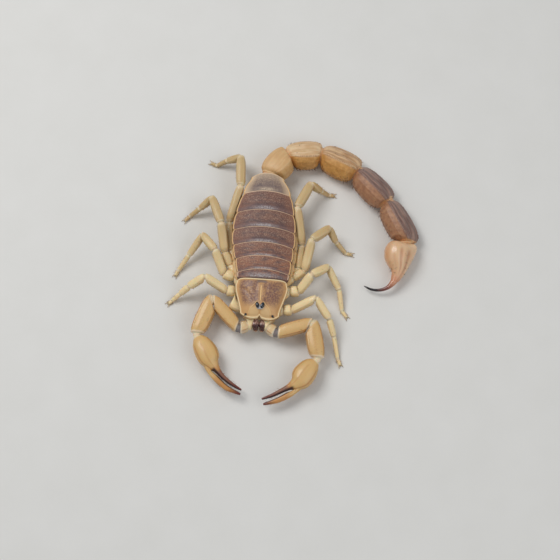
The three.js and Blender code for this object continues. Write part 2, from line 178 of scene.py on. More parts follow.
# %% The network of one finish
class Finish:
    """A procedural material in the making."""

    def __init__(self, name):
        self.material = bpy.data.materials.new(name)
        self.material.use_nodes = True
        self.tree = self.material.node_tree
        self.tree.nodes.clear()
        self.here = self.node("ShaderNodeTexCoord", output="Object")

    def node(self, kind, settings=None, inputs=None, output=0):
        """Adds a node: its settings first, then the values or wires of its sockets."""
        made = self.tree.nodes.new(kind)
        for setting, value in (settings or {}).items():
            setattr(made, setting, value)
        for socket, value in (inputs or {}).items():
            if isinstance(value, Wire):
                self.tree.links.new(value.socket, made.inputs[socket])
            else:
                made.inputs[socket].default_value = value
        return Wire(self, made.outputs[output]) if made.outputs else None

    def mark(self, name):
        """A number stored on the points of the mesh."""
        return self.node("ShaderNodeAttribute", {"attribute_name": name}, output="Fac")

    def cloud(self, spacing, detail=3, at=None):
        """Soft clouds from 0 to 1, a spacing in mm apart, or in the measure of the place at."""
        scale = 1 / spacing if at else 1 / (spacing * MM)
        sockets = {"Vector": at or self.here, "Scale": scale, "Detail": detail}
        return self.node("ShaderNodeTexNoise", inputs=sockets, output="Fac")

    def cells(self, spacing):
        """Distance from the middles of packed cells: 0 in the middle, near 1 at the seams."""
        sockets = {"Vector": self.here, "Scale": 1 / (spacing * MM)}
        return self.node("ShaderNodeTexVoronoi", inputs=sockets, output="Distance")

    def stretched(self, stretch):
        """The place on the piece, made longer or shorter along X, Y and Z."""
        return self.node("ShaderNodeMapping", inputs={"Vector": self.here, "Scale": stretch})

    def ease(self, value, low, high):
        """0 below low and 1 above high, with a soft step between them."""
        sockets = {"Value": value, "From Min": low, "From Max": high}
        return self.node("ShaderNodeMapRange", {"interpolation_type": "SMOOTHSTEP"}, sockets)

    def mix(self, share, first, second):
        """The first colour, turning into the second as share goes from 0 to 1."""
        sockets = {0: share, 6: paint(first), 7: paint(second)}
        return self.node("ShaderNodeMix", {"data_type": "RGBA"}, sockets, output=2)

    def layered(self, colour, layers):
        """A colour under layers of others, each given as (share, colour)."""
        for share, over in layers:
            colour = self.mix(share, colour, over)
        return colour

    def relief(self, height, depth, under=None):
        """A normal from a height map, at most depth mm high, laid over another normal."""
        sockets = {"Strength": 1, "Distance": depth * MM, "Height": height}
        if under:
            sockets["Normal"] = under
        return self.node("ShaderNodeBump", inputs=sockets)

    def pitted(self, pits, pit_depth, grain, grain_depth, detail):
        """The relief of horn: packed pits with fine cloudy grain over them."""
        under = self.relief(self.cells(pits), pit_depth)
        return self.relief(self.cloud(grain, detail), grain_depth, under)

    def shade(self, colour, roughness, normal=None, fixed=None):
        """Closes the finish and returns the material. What is fixed is the same all over."""
        sockets = {"Base Color": colour, "Roughness": roughness, **(fixed or {})}
        if normal:
            sockets["Normal"] = normal
        surface = self.node("ShaderNodeBsdfPrincipled", inputs=sockets)
        self.node("ShaderNodeOutputMaterial", inputs={"Surface": surface})
        return self.material


# %% A plain mottled finish
def mottled(name, patches, dark, pale, roughness, relief, fixed=None):
    """Clouds of two colours. patches and relief are the spacing and detail of the clouds, and
    relief ends with its depth."""
    finish = Finish(name)
    colour = finish.mix(finish.cloud(*patches), dark, pale)
    bumps = finish.relief(finish.cloud(*relief[:2]), relief[2])
    return finish.shade(colour, roughness, bumps, fixed)


# %% Floor
FLOOR_SIDE = 3000 * MM

mesh = bmesh.new()
bmesh.ops.create_grid(mesh, x_segments=1, y_segments=1, size=FLOOR_SIDE / 2)
floor_data = bpy.data.meshes.new("tray_floor")
mesh.to_mesh(floor_data)
mesh.free()
floor_data.materials.append(mottled("tray_paper", (9, 5), (226, 224, 219), (233, 231, 227),
                                    0.9, (0.8, 3, 0.02)))
floor = bpy.data.objects.new("tray_floor", floor_data)
bpy.context.scene.collection.objects.link(floor)

# %% [markdown]
# ## Reading the solids
# The plain solids already have the right places and sizes, so nothing is measured twice. A
# limb's solid is a row of rings. Its points are merged in a copy, and then the rings are found
# one after the other, by walking along the edges from the middle of one end to the other. Each
# ring gives its centre, its direction, and half its width and height.

# %% A smooth curve through samples
def smooth(samples, place):
    """Number or point at a place, on a soft curve through a row of (place, value) pairs."""
    last = len(samples) - 1
    index = min(max(bisect([at for at, _ in samples], place) - 1, 0), last - 1)
    (start, low), (end, high) = samples[index], samples[index + 1]

    def slope(at):
        (before, under), (after, over) = samples[max(at - 1, 0)], samples[min(at + 1, last)]
        return (over - under) * ((end - start) / (after - before))

    t = min(max((place - start) / (end - start), 0), 1)
    eased = t * t * (3 - 2 * t)
    rise = slope(index) * (t * (1 - t) ** 2) - slope(index + 1) * (t * t * (1 - t))
    return low + (high - low) * eased + rise


def between(value, low, high):
    """0 below low and 1 above high, with a soft step between them."""
    t = min(max((value - low) / (high - low), 0), 1)
    return t * t * (3 - 2 * t)


def hump(value, width):
    """1 at zero, falling off softly to both sides."""
    return math.exp(-((value / width) ** 2))


# %% Rings of a limb's solid
Ring = namedtuple("Ring", "centre travel half height")
MERGE = 0.001 * MM


def joined(name):
    """A copy of a solid's mesh, with its loose triangles joined at their corners."""
    mesh = bmesh.new()
    mesh.from_mesh(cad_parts[name].data)
    bmesh.ops.remove_doubles(mesh, verts=mesh.verts, dist=MERGE)
    return mesh


def axes(travel, roll):
    """Directions to the right of the travel and up from it, for a limb with that roll."""
    side = Matrix.Rotation(roll, 3, travel) @ travel.cross(UP).normalized()
    return side, side.cross(travel)


def ring_of(points, ahead, roll):
    """The ring through some points, facing ahead."""
    centre = sum(points, Vector()) / len(points)
    flat = np.linalg.svd(np.array([point - centre for point in points]))[2][2]
    travel = Vector(flat).normalized()
    if travel.dot(ahead) < 0:
        travel.negate()
    side, rise = axes(travel, roll)
    half = max(abs((point - centre).dot(side)) for point in points)
    height = max(abs((point - centre).dot(rise)) for point in points)
    return Ring(centre, travel, half, height)


# %% Rings in their order along the limb
def read_rings(name, start, roll=0.0):
    """Rings of a limb's solid, in order from the end that lies nearest to start."""
    mesh = joined(name)
    mesh.verts.index_update()
    caps = sorted(mesh.verts, key=lambda vert: len(vert.link_edges))[-2:]
    caps.sort(key=lambda vert: (vert.co - start).length)
    seen, layer, layers = set(), [caps[0]], []
    while layer:
        seen.update(layer)
        layers.append([vert.co.copy() for vert in layer])
        near = {edge.other_vert(vert) for vert in layer for edge in vert.link_edges}
        layer = sorted(near - seen, key=lambda vert: vert.index)
    mesh.free()
    rows = layers[1:-1]
    middles = [sum(row, Vector()) / len(row) for row in rows]
    ahead = [after - before for before, after in zip(middles, middles[1:])]
    return [ring_of(row, way, roll) for row, way in zip(rows, ahead + ahead[-1:])]


# %% A limb: its middle line with smooth sizes
Section = namedtuple("Section", "centre travel side rise half height")


class Limb:
    """A middle line with a width and a height all along it, smooth between its rings."""

    def __init__(self, rings, roll=0.0):
        reach = [0.0]
        for before, after in zip(rings, rings[1:]):
            reach.append(reach[-1] + (after.centre - before.centre).length)
        self.length = reach[-1]
        self.roll = roll
        self.samples = [list(zip(reach, values)) for values in zip(*rings)]

    @cache
    def section(self, distance):
        """The cross-section at a distance along the limb, or straight on past its ends."""
        inside = min(max(distance, 0), self.length)
        centre, travel, half, height = (smooth(row, inside) for row in self.samples)
        travel = travel.normalized()
        side, rise = axes(travel, self.roll)
        return Section(centre + travel * (distance - inside), travel, side, rise, half, height)

    def point(self, distance, across, high):
        """A point by its distance along and its shares of the half width and height there."""
        at = self.section(distance)
        return at.centre + at.side * (across * at.half) + at.rise * (high * at.height)


def limb_through(points, halves, flat=1.0, roll=0.0):
    """A limb through a few points, with a half width at each and a height flat times it."""
    rings = []
    for index, (point, half) in enumerate(zip(points, halves)):
        before, after = points[max(index - 1, 0)], points[min(index + 1, len(points) - 1)]
        rings.append(Ring(point, (after - before).normalized(), half, half * flat))
    return Limb(rings, roll)


# %% [markdown]
# ## Making pieces
# Almost every piece is either a tube along a limb or a curved plate. Both start as a plain
# cylinder or grid with many loops, whose points are then moved to where a small function says.
# This keeps the faces even, and the same function marks each point with what the finish needs
# to know: how far along it lies, which way it faces, and whether it is on a ridge. Sculpting by
# hand would be quicker to start with, but could not be made again in another size.

# %% The mesh of a piece
pieces = {}


class Shell:
    """A mesh in the making, whose points carry named marks for the finish to read."""

    def __init__(self, *marks):
        self.mesh = bmesh.new()
        self.marks = {mark: self.mesh.verts.layers.float.new(mark) for mark in marks}

    def move(self, count, place):
        """Moves the points made since there were count of them to where place says."""
        self.mesh.verts.ensure_lookup_table()
        for vert in self.mesh.verts[count:]:
            vert.co, marks = place(vert.co)
            for mark, value in marks.items():
                vert[self.marks[mark]] = value

    def tube(self, sides, steps, place):
        """Adds a closed tube. place(turn, share) gives the point at an angle and a length."""
        mesh = self.mesh
        count, edges = len(mesh.verts), len(mesh.edges)
        bmesh.ops.create_cone(
            mesh, cap_ends=True, segments=sides, radius1=1, radius2=1, depth=1)
        mesh.edges.ensure_lookup_table()
        long = [e for e in mesh.edges[edges:] if abs(e.verts[0].co.z - e.verts[1].co.z) > 0.5]
        bmesh.ops.subdivide_edges(mesh, edges=long, cuts=steps - 1, use_grid_fill=True)
        self.move(count, lambda at: place(math.atan2(at.y, at.x), at.z + 0.5))

    def plate(self, columns, rows, place, depth):
        """Adds a closed plate. place(across, share) gives the point of its upper face, from
        -1 to 1 across and 0 to 1 back, and the edge is turned down by depth."""
        mesh = self.mesh
        count, faces = len(mesh.verts), len(mesh.faces)
        bmesh.ops.create_grid(mesh, x_segments=columns, y_segments=rows, size=1)
        self.move(count, lambda at: place(at.x, at.y / 2 + 0.5))
        mesh.faces.ensure_lookup_table()
        whole = bmesh.ops.extrude_face_region(mesh, geom=mesh.faces[faces:], use_keep_orig=True)
        under = [item for item in whole["geom"] if isinstance(item, bmesh.types.BMVert)]
        for vert in under:
            vert.co -= UP * depth

    def ball(self, divisions, place):
        """Adds a ball of small triangles. place(point) moves a point of the unit ball."""
        count = len(self.mesh.verts)
        bmesh.ops.create_icosphere(self.mesh, subdivisions=divisions, radius=1)
        self.move(count, lambda at: (place(at), {}))

    def keep(self, name, finish, slot, *solids):
        """Makes the mesh an object that rides on the model and stands for those solids."""
        bmesh.ops.recalc_face_normals(self.mesh, faces=self.mesh.faces)
        data = bpy.data.meshes.new(name)
        self.mesh.to_mesh(data)
        self.mesh.free()
        data.shade_smooth()
        data.materials.append(finish)
        piece = bpy.data.objects.new(name, data)
        bpy.context.scene.collection.objects.link(piece)
        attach(piece, "root")
        if solids:
            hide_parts(*solids)
        pieces[name] = piece
        return piece


# %% Sections and ends that many pieces share
def squared(turn, power):
    """A round section, made boxier as the power falls below 1."""
    across, high = math.cos(turn), math.sin(turn)
    return (math.copysign(abs(across) ** power, across), math.copysign(abs(high) ** power, high))


def closing(distance, length, lip, narrow=0.6):
    """How full a tube is near its ends, where the horn rolls inwards over a lip."""
    gone = min(max(min(distance, length - distance) / lip, 0), 1)
    return narrow + (1 - narrow) * math.sqrt(1 - (1 - gone) ** 2)


def ease_ends(share):
    """Draws the loops of a tube together towards its ends."""
    return 0.5 - 0.5 * math.cos(math.pi * share)


def turn_gap(turn, other):
    """The smallest angle between two directions round a limb."""
    return abs((turn - other + math.pi) % math.tau - math.pi)


def beads(point, spacing, size=0.42):
    """Height from 0 to 1 of small round grains of horn, scattered about a spacing apart."""
    near = noise.voronoi(point / spacing)[0][0]
    return math.sqrt(max(0, 1 - (near / size) ** 2))

# %% [markdown]
# ## The head shield
# One broad plate roofs the whole head. Its edge is a raised pale bead, notched between two
# front lobes. The eyes stand on a low mound, pale arches run forward from them, and a thin
# pale line runs back. Fine grains cover the sides. It could be cut from a sphere, but a grid
# that is moved point by point keeps the bead and the arches crisp.

# %% Measures of the shield
SHIELD_CREST = [(-8.3, 5.35), (-7.4, 6.15), (-5.8, 6.8), (-3, 7.05), (0, 7.15)]
SHIELD_EDGE = 5.0
SHIELD_DEPTH = 0.55
FRONT_REACH, FRONT_NOTCH, NOTCH_WIDTH = 0.2, 0.46, 0.065
FRONT_CORNER, FRONT_LOBE, FRONT_SKEW = 1.1, 0.22, 0.14
REAR_CORNER, REAR_SWEEP, REAR_LIFT = 0.6, 0.3, 0.35
BEAD_WIDTH, BEAD_HEIGHT = 0.17, 0.13
MOUND_Y, MOUND_RISE = -5.75, 0.42
EYE_ARCH = [(0.75, -5.1), (1.15, -5.6), (1.75, -6.15), (2.2, -6.8), (2.35, -7.5)]
PALE_LINE = [(0, -1.6), (0, -4.8)]
SIDE_GROOVE = [(1.4, -4.6), (3.2, -2.6), (4.6, -2)]
SHIELD_DENTS = (  # depth, place across and its spread, place back and its spread
    (0.1, 1.15, 0.5, -2.1, 1.3), (0.13, 0, 1, -0.75, 0.35))
SHIELD_COLUMNS, SHIELD_ROWS = 190, 130


# %% Widths of the shield, read from its solid
def cut_across(name, place):
    """Points where a solid is cut square to Y at a place."""
    mesh = joined(name)
    whole = mesh.verts[:] + mesh.edges[:] + mesh.faces[:]
    cut = bmesh.ops.bisect_plane(
        mesh, geom=whole, dist=MERGE, plane_co=(0, place, 0), plane_no=(0, 1, 0))["geom_cut"]
    points = [item.co.copy() for item in cut if isinstance(item, bmesh.types.BMVert)]
    mesh.free()
    return points


def half_widths(name, shares):
    """Half the width of a solid at shares of its length, as (place in mm, half in mm)."""
    low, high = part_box(name)
    rows = []
    for share in shares:
        place = low.y + (high.y - low.y) * share
        across = [point.x for point in cut_across(name, place)]
        rows.append(((place - anchor.y) / MM, (max(across) - min(across)) / 2 / MM))
    return rows


SHIELD_HALF = half_widths("carapace", (0.15, 0.25, 0.4, 0.55, 0.7, 0.83, 0.93))
SHIELD_LENGTH = (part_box("carapace")[1].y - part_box("carapace")[0].y) / MM
print("half widths of the shield in mm:", [round(half, 2) for _, half in SHIELD_HALF])


# %% Helpers for curved plates
def path_gap(x, y, path):
    """Distance from a point to a line of short straight stretches."""
    gaps = []
    for (ax, ay), (bx, by) in zip(path, path[1:]):
        dx, dy = bx - ax, by - ay
        t = min(max(((x - ax) * dx + (y - ay) * dy) / (dx * dx + dy * dy), 0), 1)
        gaps.append(math.hypot(x - ax - dx * t, y - ay - dy * t))
    return min(gaps)


def denser_edges(across):
    """Draws the columns of a plate together towards its edges."""
    return 1.25 * across - 0.25 * across ** 3


# %% The shield's plain form
def shield_front(across):
    """The front edge: two lobes with a notch between them, and corners drawn back."""
    notch = FRONT_NOTCH * hump(across, NOTCH_WIDTH) + FRONT_LOBE * hump(across, 0.3)
    corner = FRONT_CORNER * across ** 4 - FRONT_SKEW * across
    return notch + corner - SHIELD_LENGTH - FRONT_REACH


def shield_base(x, y, across):
    """Height of the shield's plain dome and of the mound that carries the eyes."""
    crest = smooth(SHIELD_CREST, y)
    edge = SHIELD_EDGE + REAR_LIFT * between(y, -4, 0)
    dome = edge + (crest - edge) * (1 - abs(across) ** 2.8)
    mound = MOUND_RISE * hump(x, 0.95) * hump(y - MOUND_Y, 1.15)
    return dome + mound


# %% The shield with its beads, arches and grains
def shield_point(across, share):
    """A point of the shield: across from -1 to 1, share from its front to its rear edge."""
    across = denser_edges(across)
    share = denser_edges(2 * share - 1) / 2 + 0.5
    front = shield_front(across)
    rear = REAR_SWEEP * across ** 2 - REAR_CORNER * across ** 14
    y = front + (rear - front) * share
    half = smooth(SHIELD_HALF, y)
    x = across * half
    aside = abs(x)
    inward = (1 - abs(across)) * half
    border = min(inward, (y - front) * 0.9, (rear - y) * 0.75)
    bead = hump(border - BEAD_WIDTH * 0.8, BEAD_WIDTH * 0.75)
    trough = hump(border - BEAD_WIDTH * 2.6, BEAD_WIDTH)
    arch = hump(path_gap(aside, y, EYE_ARCH), 0.13)
    line = hump(path_gap(x, y, PALE_LINE), 0.11)
    rough = 0.5 + 0.5 * noise.noise(Vector((x, y, 3)) * 0.9)
    field = between(border, 0.3, 0.7) * (1 - line) * (0.35 + 0.65 * between(aside, 0.3, 1.4))
    grain = beads(Vector((x, y, 0)), 0.27) * field * rough
    dents = 0.05 * hump(x, 0.22) * (y < -1.3) + 0.12 * hump(path_gap(aside, y, SIDE_GROOVE), 0.35)
    for depth, place, spread, back, length in SHIELD_DENTS:
        dents += depth * hump(aside - place, spread) * hump(y - back, length)
    z = shield_base(x, y, across) + bead * BEAD_HEIGHT - 0.06 * trough - dents
    z += 0.07 * arch + 0.06 * line + 0.05 * grain - 0.22 * (1 - between(border, 0, 0.12))
    lobe = between(aside, 0, 0.5) * between(-y, 5.7, 6.6) * (1 - between(aside, 1.9, 2.4))
    patch = (0.45 + 0.55 * between(aside, 0.1, 1)) * between(rear - y, 0.35, 0.7)
    patch *= between(inward, 0.3, 1.5) * (1 - between(-y, 4.6, 6.6))
    marks = {"bead": bead, "ridge": arch * 0.8, "line": line, "grain": grain, "lobe": lobe,
             "patch": patch, "side": aside / 5.6, "back": share}
    return Vector((anchor.x + x * MM, anchor.y + y * MM, z * MM)), marks


# %% Finish of the shield
def shield_finish():
    finish = Finish("shield_horn")
    side, back = finish.mark("side"), finish.mark("back")
    bead, ridge, grain = finish.mark("bead"), finish.mark("ridge"), finish.mark("grain")
    clouds = finish.ease(finish.cloud(1.6, detail=5), 0.28, 0.56)
    flecks = finish.ease(finish.cloud(0.34, detail=5), 0.34, 0.6)
    dark = finish.mark("patch") * (clouds * 0.45 + flecks * 0.4 + 0.22)
    warm = finish.mix(finish.cloud(2.5), (202, 152, 98), (222, 174, 116))
    fine = finish.ease(finish.cloud(0.22, detail=6), 0.45, 0.7)
    rear = finish.ease(back, 0.86, 0.92) * (1 - finish.ease(back, 0.94, 0.965))
    grey = rear * (1 - finish.ease(side, 0.12, 0.24))
    line = finish.ease(finish.mark("line"), 0.35, 0.85)
    colour = finish.layered(warm, [
        (dark, (122, 84, 74)),
        (fine * 0.4, (218, 166, 112)),
        (grey * 0.85, (118, 102, 98)),
        (finish.mark("lobe") * 0.85, (228, 190, 136)),
        (grain * 0.35, (214, 172, 124)),
        (finish.ease(ridge, 0.25, 0.9) * 0.85, (236, 196, 134)),
        (line * 0.9, (246, 205, 132)),
        (finish.ease(bead, 0.3, 0.75), (255, 230, 182))])
    grainy = finish.pitted(0.11, 0.012, 0.05, 0.008, 5)
    gloss = finish.cloud(0.3) * 0.2 + 0.32
    return finish.shade(colour, gloss, grainy, {"Coat Weight": 0.15, "Coat Roughness": 0.3})


# %% The shield
shield = Shell("bead", "ridge", "line", "grain", "lobe", "patch", "side", "back")
shield.plate(SHIELD_COLUMNS, SHIELD_ROWS, shield_point, SHIELD_DEPTH * MM)
shield.keep("shield", shield_finish(), "shield", "carapace")
print("shield:", len(pieces["shield"].data.polygons), "faces")

# %% [markdown]
# ## Eyes
# Two large eyes look sideways from the mound, each a smooth black lens with a painted blue-grey
# reflection, on a pale seat whose whitish colour is partly a painted highlight. Three tiny ones
# sit at each front corner. A plain ball would look like a bead pressed in, so each lens is
# stretched, turned outwards behind and sunk to its widest line.

# %% Measures and finishes of the eyes
EYE_SLANT = math.radians(20)
EYE_STRETCH = (1.2, 1.42, 1.0)
SMALL_EYES = [(0, 0, 0.26), (-0.24, 0.14, 0.1), (0.14, -0.26, 0.1)]  # outward, back, radius
SMALL_EYE_DROP = 0.1
LENS_SHARE = 0.97
SMALL_EYE_SHIFTS = {"left": (-0.18, -0.36, 0.13), "right": (0.03, -0.3, 0.13)}
SEAT_SHIFT = (0.2, 0.1, 0.05)
SEAT_RADII = (1.3, 1.0, 0.76)


def lens_finish():
    finish = Finish("eye_lens")
    # painted reflection: blue-grey clouds of sky laid on the black lens
    sky_reflection = finish.ease(finish.cloud(0.5), 0.4, 0.7)
    colour = finish.mix(sky_reflection, (12, 13, 17), (46, 54, 66))
    return finish.shade(colour, 0.2, fixed={"Coat Weight": 0.4, "IOR": 1.5})


# %% The eyes
def eye(shell, centre, radii, slant, divisions=4):
    """Adds a ball with three radii, turned by slant about the upright line."""
    turned = Matrix.Rotation(slant, 3, UP)
    stretch = Matrix.Diagonal(radii)
    shell.ball(divisions, lambda at: centre + turned @ stretch @ at)


lens = lens_finish()
# the seat's grey to whitish colour is partly a painted highlight round each main eye
seat_highlight = mottled("eye_seat", (0.3, 3), (150, 146, 148), (214, 208, 202), 0.35, (0.12, 3, 0.02))
for side_name, way in SIDES.items():
    low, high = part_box(f"eye_median_{side_name}")
    centre, radii = (low + high) / 2, Matrix.Diagonal(EYE_STRETCH) @ ((high - low) / 2)
    lenses = Shell()
    eye(lenses, centre, radii * LENS_SHARE, -way * EYE_SLANT)
    lenses.keep(f"main_eye_{side_name}", lens, "eyes", f"eye_median_{side_name}")
    seats = Shell()
    inward, forward, down = SEAT_SHIFT
    place = centre - Vector((way * inward, forward, down)) * MM
    eye(seats, place, Matrix.Diagonal(SEAT_RADII) @ radii, -way * EYE_SLANT)
    seats.keep(f"main_eye_seat_{side_name}", seat_highlight, "shield")
    low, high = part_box(f"eye_side_{side_name}")
    small = Shell()
    middle = (low + high) / 2 + Vector(SMALL_EYE_SHIFTS[side_name]) * MM
    for across, back, radius in SMALL_EYES:
        place = middle + Vector((way * across, back, -SMALL_EYE_DROP * abs(across))) * MM
        eye(small, place, Vector((1, 1, 1)) * radius * MM, 0, divisions=3)
    small.keep(f"side_eyes_{side_name}", lens, "eyes", f"eye_side_{side_name}")
print("eyes made:", [name for name in pieces if "eye" in name])

# %% [markdown]
# ## Jaws
# Two short jaws fill the gap under the front of the shield. Each is a rounded hand with two
# dark hooked fingers that carry a few blunt teeth. The hand is a tube along the solid's own
# middle line. The fingers are thin curved tubes that start inside it.

# %% Finish of the jaws
def jaw_finish():
    finish = Finish("jaw_horn")
    along = finish.mark("along")
    net = finish.ease(finish.cells(0.3), 0.3, 0.75)
    rear = finish.mix(net, (206, 168, 150), (128, 90, 84))
    dark = finish.mix(finish.cloud(0.5), (44, 20, 24), (84, 42, 40))
    colour = finish.layered(rear, [
        (finish.ease(along, 0.42, 0.56), dark),
        (finish.mark("edge") * 0.8, (206, 146, 96))])
    bumps = finish.relief(finish.cloud(0.12), 0.02)
    return finish.shade(colour, 0.28, bumps, {"Coat Weight": 0.3})


# %% Measures of the jaws
JAW_TEETH, JAW_TOOTH_GAP = 3, 0.16
JAW_WIDE, JAW_INWARD = 1.5, 0.12
JAW_RIDGES = (60, 120)
JAW_HAND_SHARE = 0.72
JAW_FINGERS = ((0.5, -0.1), (-0.42, 0.12))


# %% A thin tube
def thin_tube(shell, limb, sides, steps, marks, narrow=0.08):
    """A tube along a whole limb that closes to a soft point at its far end."""
    def place(turn, share):
        distance = limb.length * share
        full = closing(limb.length - distance, limb.length * 2, limb.length * 0.12, narrow)
        at = limb.point(distance, math.cos(turn) * full, math.sin(turn) * full)
        return at, marks(turn, share)
    shell.tube(sides, steps, place)


# %% Hands, fingers and teeth of the jaws
def jaw_hand(shell, limb, way):
    """The rounded hand. way is the animal's side, 1 for left and -1 for right."""
    start, end = -0.8 * MM, limb.length * JAW_HAND_SHARE

    def place(turn, share):
        distance = start + (end - start) * ease_ends(share)
        full = 0.94 * closing(distance - start, end - start, 0.6 * MM, 0.3)
        across, high = squared(turn, 0.85)
        ridge = sum(0.05 * hump(turn_gap(turn, math.radians(at)), 0.16) for at in JAW_RIDGES)
        wide = across * (full + ridge) * JAW_WIDE + way * JAW_INWARD
        at = limb.point(distance, wide, high * (full + ridge))
        return at, {"along": share * 0.8, "edge": 0.0}

    shell.tube(32, 28, place)


def jaw_finger(shell, limb, way, outward, height):
    """One hooked finger, rooted at shares outward of the half width and height."""
    root = limb.point(limb.length * 0.5, way * outward, height)
    bend = limb.point(limb.length * 0.86, way * outward * 1.25, height)
    tip = limb.point(limb.length, way * outward * 0.45, height - 0.25)
    hook = limb_through([root, bend, tip], [0.36 * MM, 0.27 * MM, 0.06 * MM], flat=1.15)
    thin_tube(shell, hook, 14, 16, lambda turn, share: {"along": 0.7 + 0.3 * share,
                                                        "edge": between(share, 0.7, 0.9)})
    for step in range(JAW_TEETH):
        distance = hook.length * (0.5 + JAW_TOOTH_GAP * step)
        inwards = -way if outward > 0 else way
        base = hook.point(distance, inwards * 0.6, 0)
        end = hook.point(distance, inwards * 2.1, -0.2)
        cone = limb_through([base, (base + end) / 2, end], [0.09 * MM, 0.06 * MM, 0.02 * MM])
        thin_tube(shell, cone, 8, 4, lambda turn, share: {"along": 1.0, "edge": 0.0})


# %% The jaws
jaw = jaw_finish()
jaw_limbs = {}
for side_name, way in SIDES.items():
    solid = f"chelicera_{side_name}"
    limb = Limb(read_rings(solid, anchor))
    shell = Shell("along", "edge")
    jaw_hand(shell, limb, way)
    for outward, height in JAW_FINGERS:
        jaw_finger(shell, limb, way, outward, height)
    shell.keep(f"jaw_{side_name}", jaw, "jaws", solid)
    jaw_limbs[side_name] = limb
print("jaws reach", round(limb.length / MM, 2), "mm in front of their roots")

# %% [markdown]
# ## Back plates
# Seven plates roof the trunk, each lying over the one behind. A thin pale bead edges the rear
# of each plate, and the front of the next, where it slides out from under, is smooth and shiny,
# with a painted blue-grey glint and sparkle in its middle. The plates are modelled one by one,
# as a single skin with painted lines would show no steps when the light comes low over the back.

# %% Measures of the trunk, read from its solids
GAP = 0.3
PLATES = range(1, 8)
PLATE_BOWS = [0] + [0.55] * 6 + [0.9]
PLATE_TUCK, PLATE_LAP = 0.3, 0.16
PLATE_LIFT, PLATE_ARCH = 0.2, 2.3
PLATE_SHARES = (0.985, 0.99, 1.01, 1.025, 1.03, 1.045, 1.045)
PLATE_SPREAD = [  # place, then how far the plates reach past their solids on each side
    (-1, Vector((0.2, 0.3))), (2, Vector((0.42, 0.65))), (5, Vector((0.52, 0.35))),
    (8, Vector((0.56, 0.05))), (14.5, Vector((0.6, 0.15))), (19, Vector((0, 0)))]
FIRST_SHINE = {"side": 0.6, "start": 0.08, "reach": 0.33}
LAST_KEELS = (0.33, 0.62)
CORNER = 0.1
PLATE_DEPTH = 0.22
PLATE_COLUMNS, PLATE_ROWS = 150, 46


def in_mm(point):
    """A point's place in mm from the middle of the shield's rear edge, and its height."""
    return Vector((point.x - anchor.x, point.y - anchor.y, point.z)) / MM


def at_mm(x, y, z):
    """The reverse: a point from mm."""
    return Vector((anchor.x + x * MM, anchor.y + y * MM, z * MM))


plate_edges = [in_mm(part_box("tergite_1")[0]).y - GAP / 2]
plate_edges += [in_mm(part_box(f"tergite_{number}")[1]).y + GAP / 2 for number in PLATES]
plate_rows = []
for number in PLATES:
    front, rear = plate_edges[number - 1], plate_edges[number] - PLATE_BOWS[1]
    for share in (0.3, 0.8):
        place = front + (rear - front) * share
        cut = [in_mm(p) for p in cut_across(f"tergite_{number}", place * MM + anchor.y)]
        across = [point.x for point in cut]
        half, centre = (max(across) - min(across)) / 2, (max(across) + min(across)) / 2
        rim = max(point.z for point in cut if point.x > centre + half * 0.99)
        plate_rows.append((place, Vector((half, centre, rim, max(point.z for point in cut)))))
print("plate edges in mm behind the shield:", [round(edge, 2) for edge in plate_edges])


# %% The surface of a back plate
def plate_point(number, across, share):
    """A point of a back plate: across from -1 to 1, share from its front to its rear edge."""
    across = denser_edges(across)
    aside = abs(across)
    front = plate_edges[number - 1] - PLATE_BOWS[number - 1] * across ** 2 - PLATE_TUCK
    rear = plate_edges[number] - PLATE_BOWS[number] * across ** 2 + PLATE_LAP
    share = 1 - (1 - share) ** 1.35
    y = front + (rear - front) * share
    half, centre, rim, crest = smooth(plate_rows, y)
    right, left = smooth(PLATE_SPREAD, y)
    half, centre = half + (left + right) / 2, centre + (left - right) / 2
    length = rear - front
    from_front, to_rear = share * length, (1 - share) * length
    shown = between(from_front, PLATE_TUCK, PLATE_TUCK + 0.3)
    bead_width = 0.14 if number > 5 else 0.1
    rim_bead = hump((1 - aside) * half - 0.2, 0.15) * shown
    bead = max(hump(to_rear - bead_width, bead_width), rim_bead)
    rough = 0.45 + 0.55 * noise.noise(Vector((across * 6, y, number)) * 0.8)
    field = shown * between(share, 0.2, 0.6) * between(to_rear, 0.25, 0.5)
    grain = beads(Vector((across * half, y, number)), 0.26) * field * rough
    keel = 0.4 * hump(across * half, 0.2) * between(share, 0.4, 0.7) * between(to_rear, 0, 0.5)
    if number == PLATES[-1]:
        keel = max(hump(aside - place, 0.03) for place in LAST_KEELS) * shown
    step = hump(from_front - PLATE_TUCK - 0.3 * length, 0.14)
    z = rim + (crest - rim) * (1 - aside ** PLATE_ARCH) + PLATE_LIFT * (share - 0.45)
    z -= 0.36 * (1 - between(from_front, 0, PLATE_TUCK * 1.6))
    z += 0.07 * bead + 0.05 * grain + 0.05 * keel + 0.03 * step
    z -= 0.14 * (1 - between(to_rear, 0, 0.1)) + 0.1 * (1 - between(1 - aside, 0, 0.03))
    corner = 1 - CORNER * max(0, abs(2 * share - 1) - 0.3) ** 2
    x = centre + across * half * PLATE_SHARES[number - 1] * corner
    marks = {"side": aside, "back": share, "bead": bead, "grain": grain}
    # the first plate's marks are squeezed so that its painted glint spreads over most of it
    if number == 1:
        marks["side"] *= FIRST_SHINE["side"]
        marks["back"] = FIRST_SHINE["start"] + FIRST_SHINE["reach"] * share
    return at_mm(x, y, z), marks


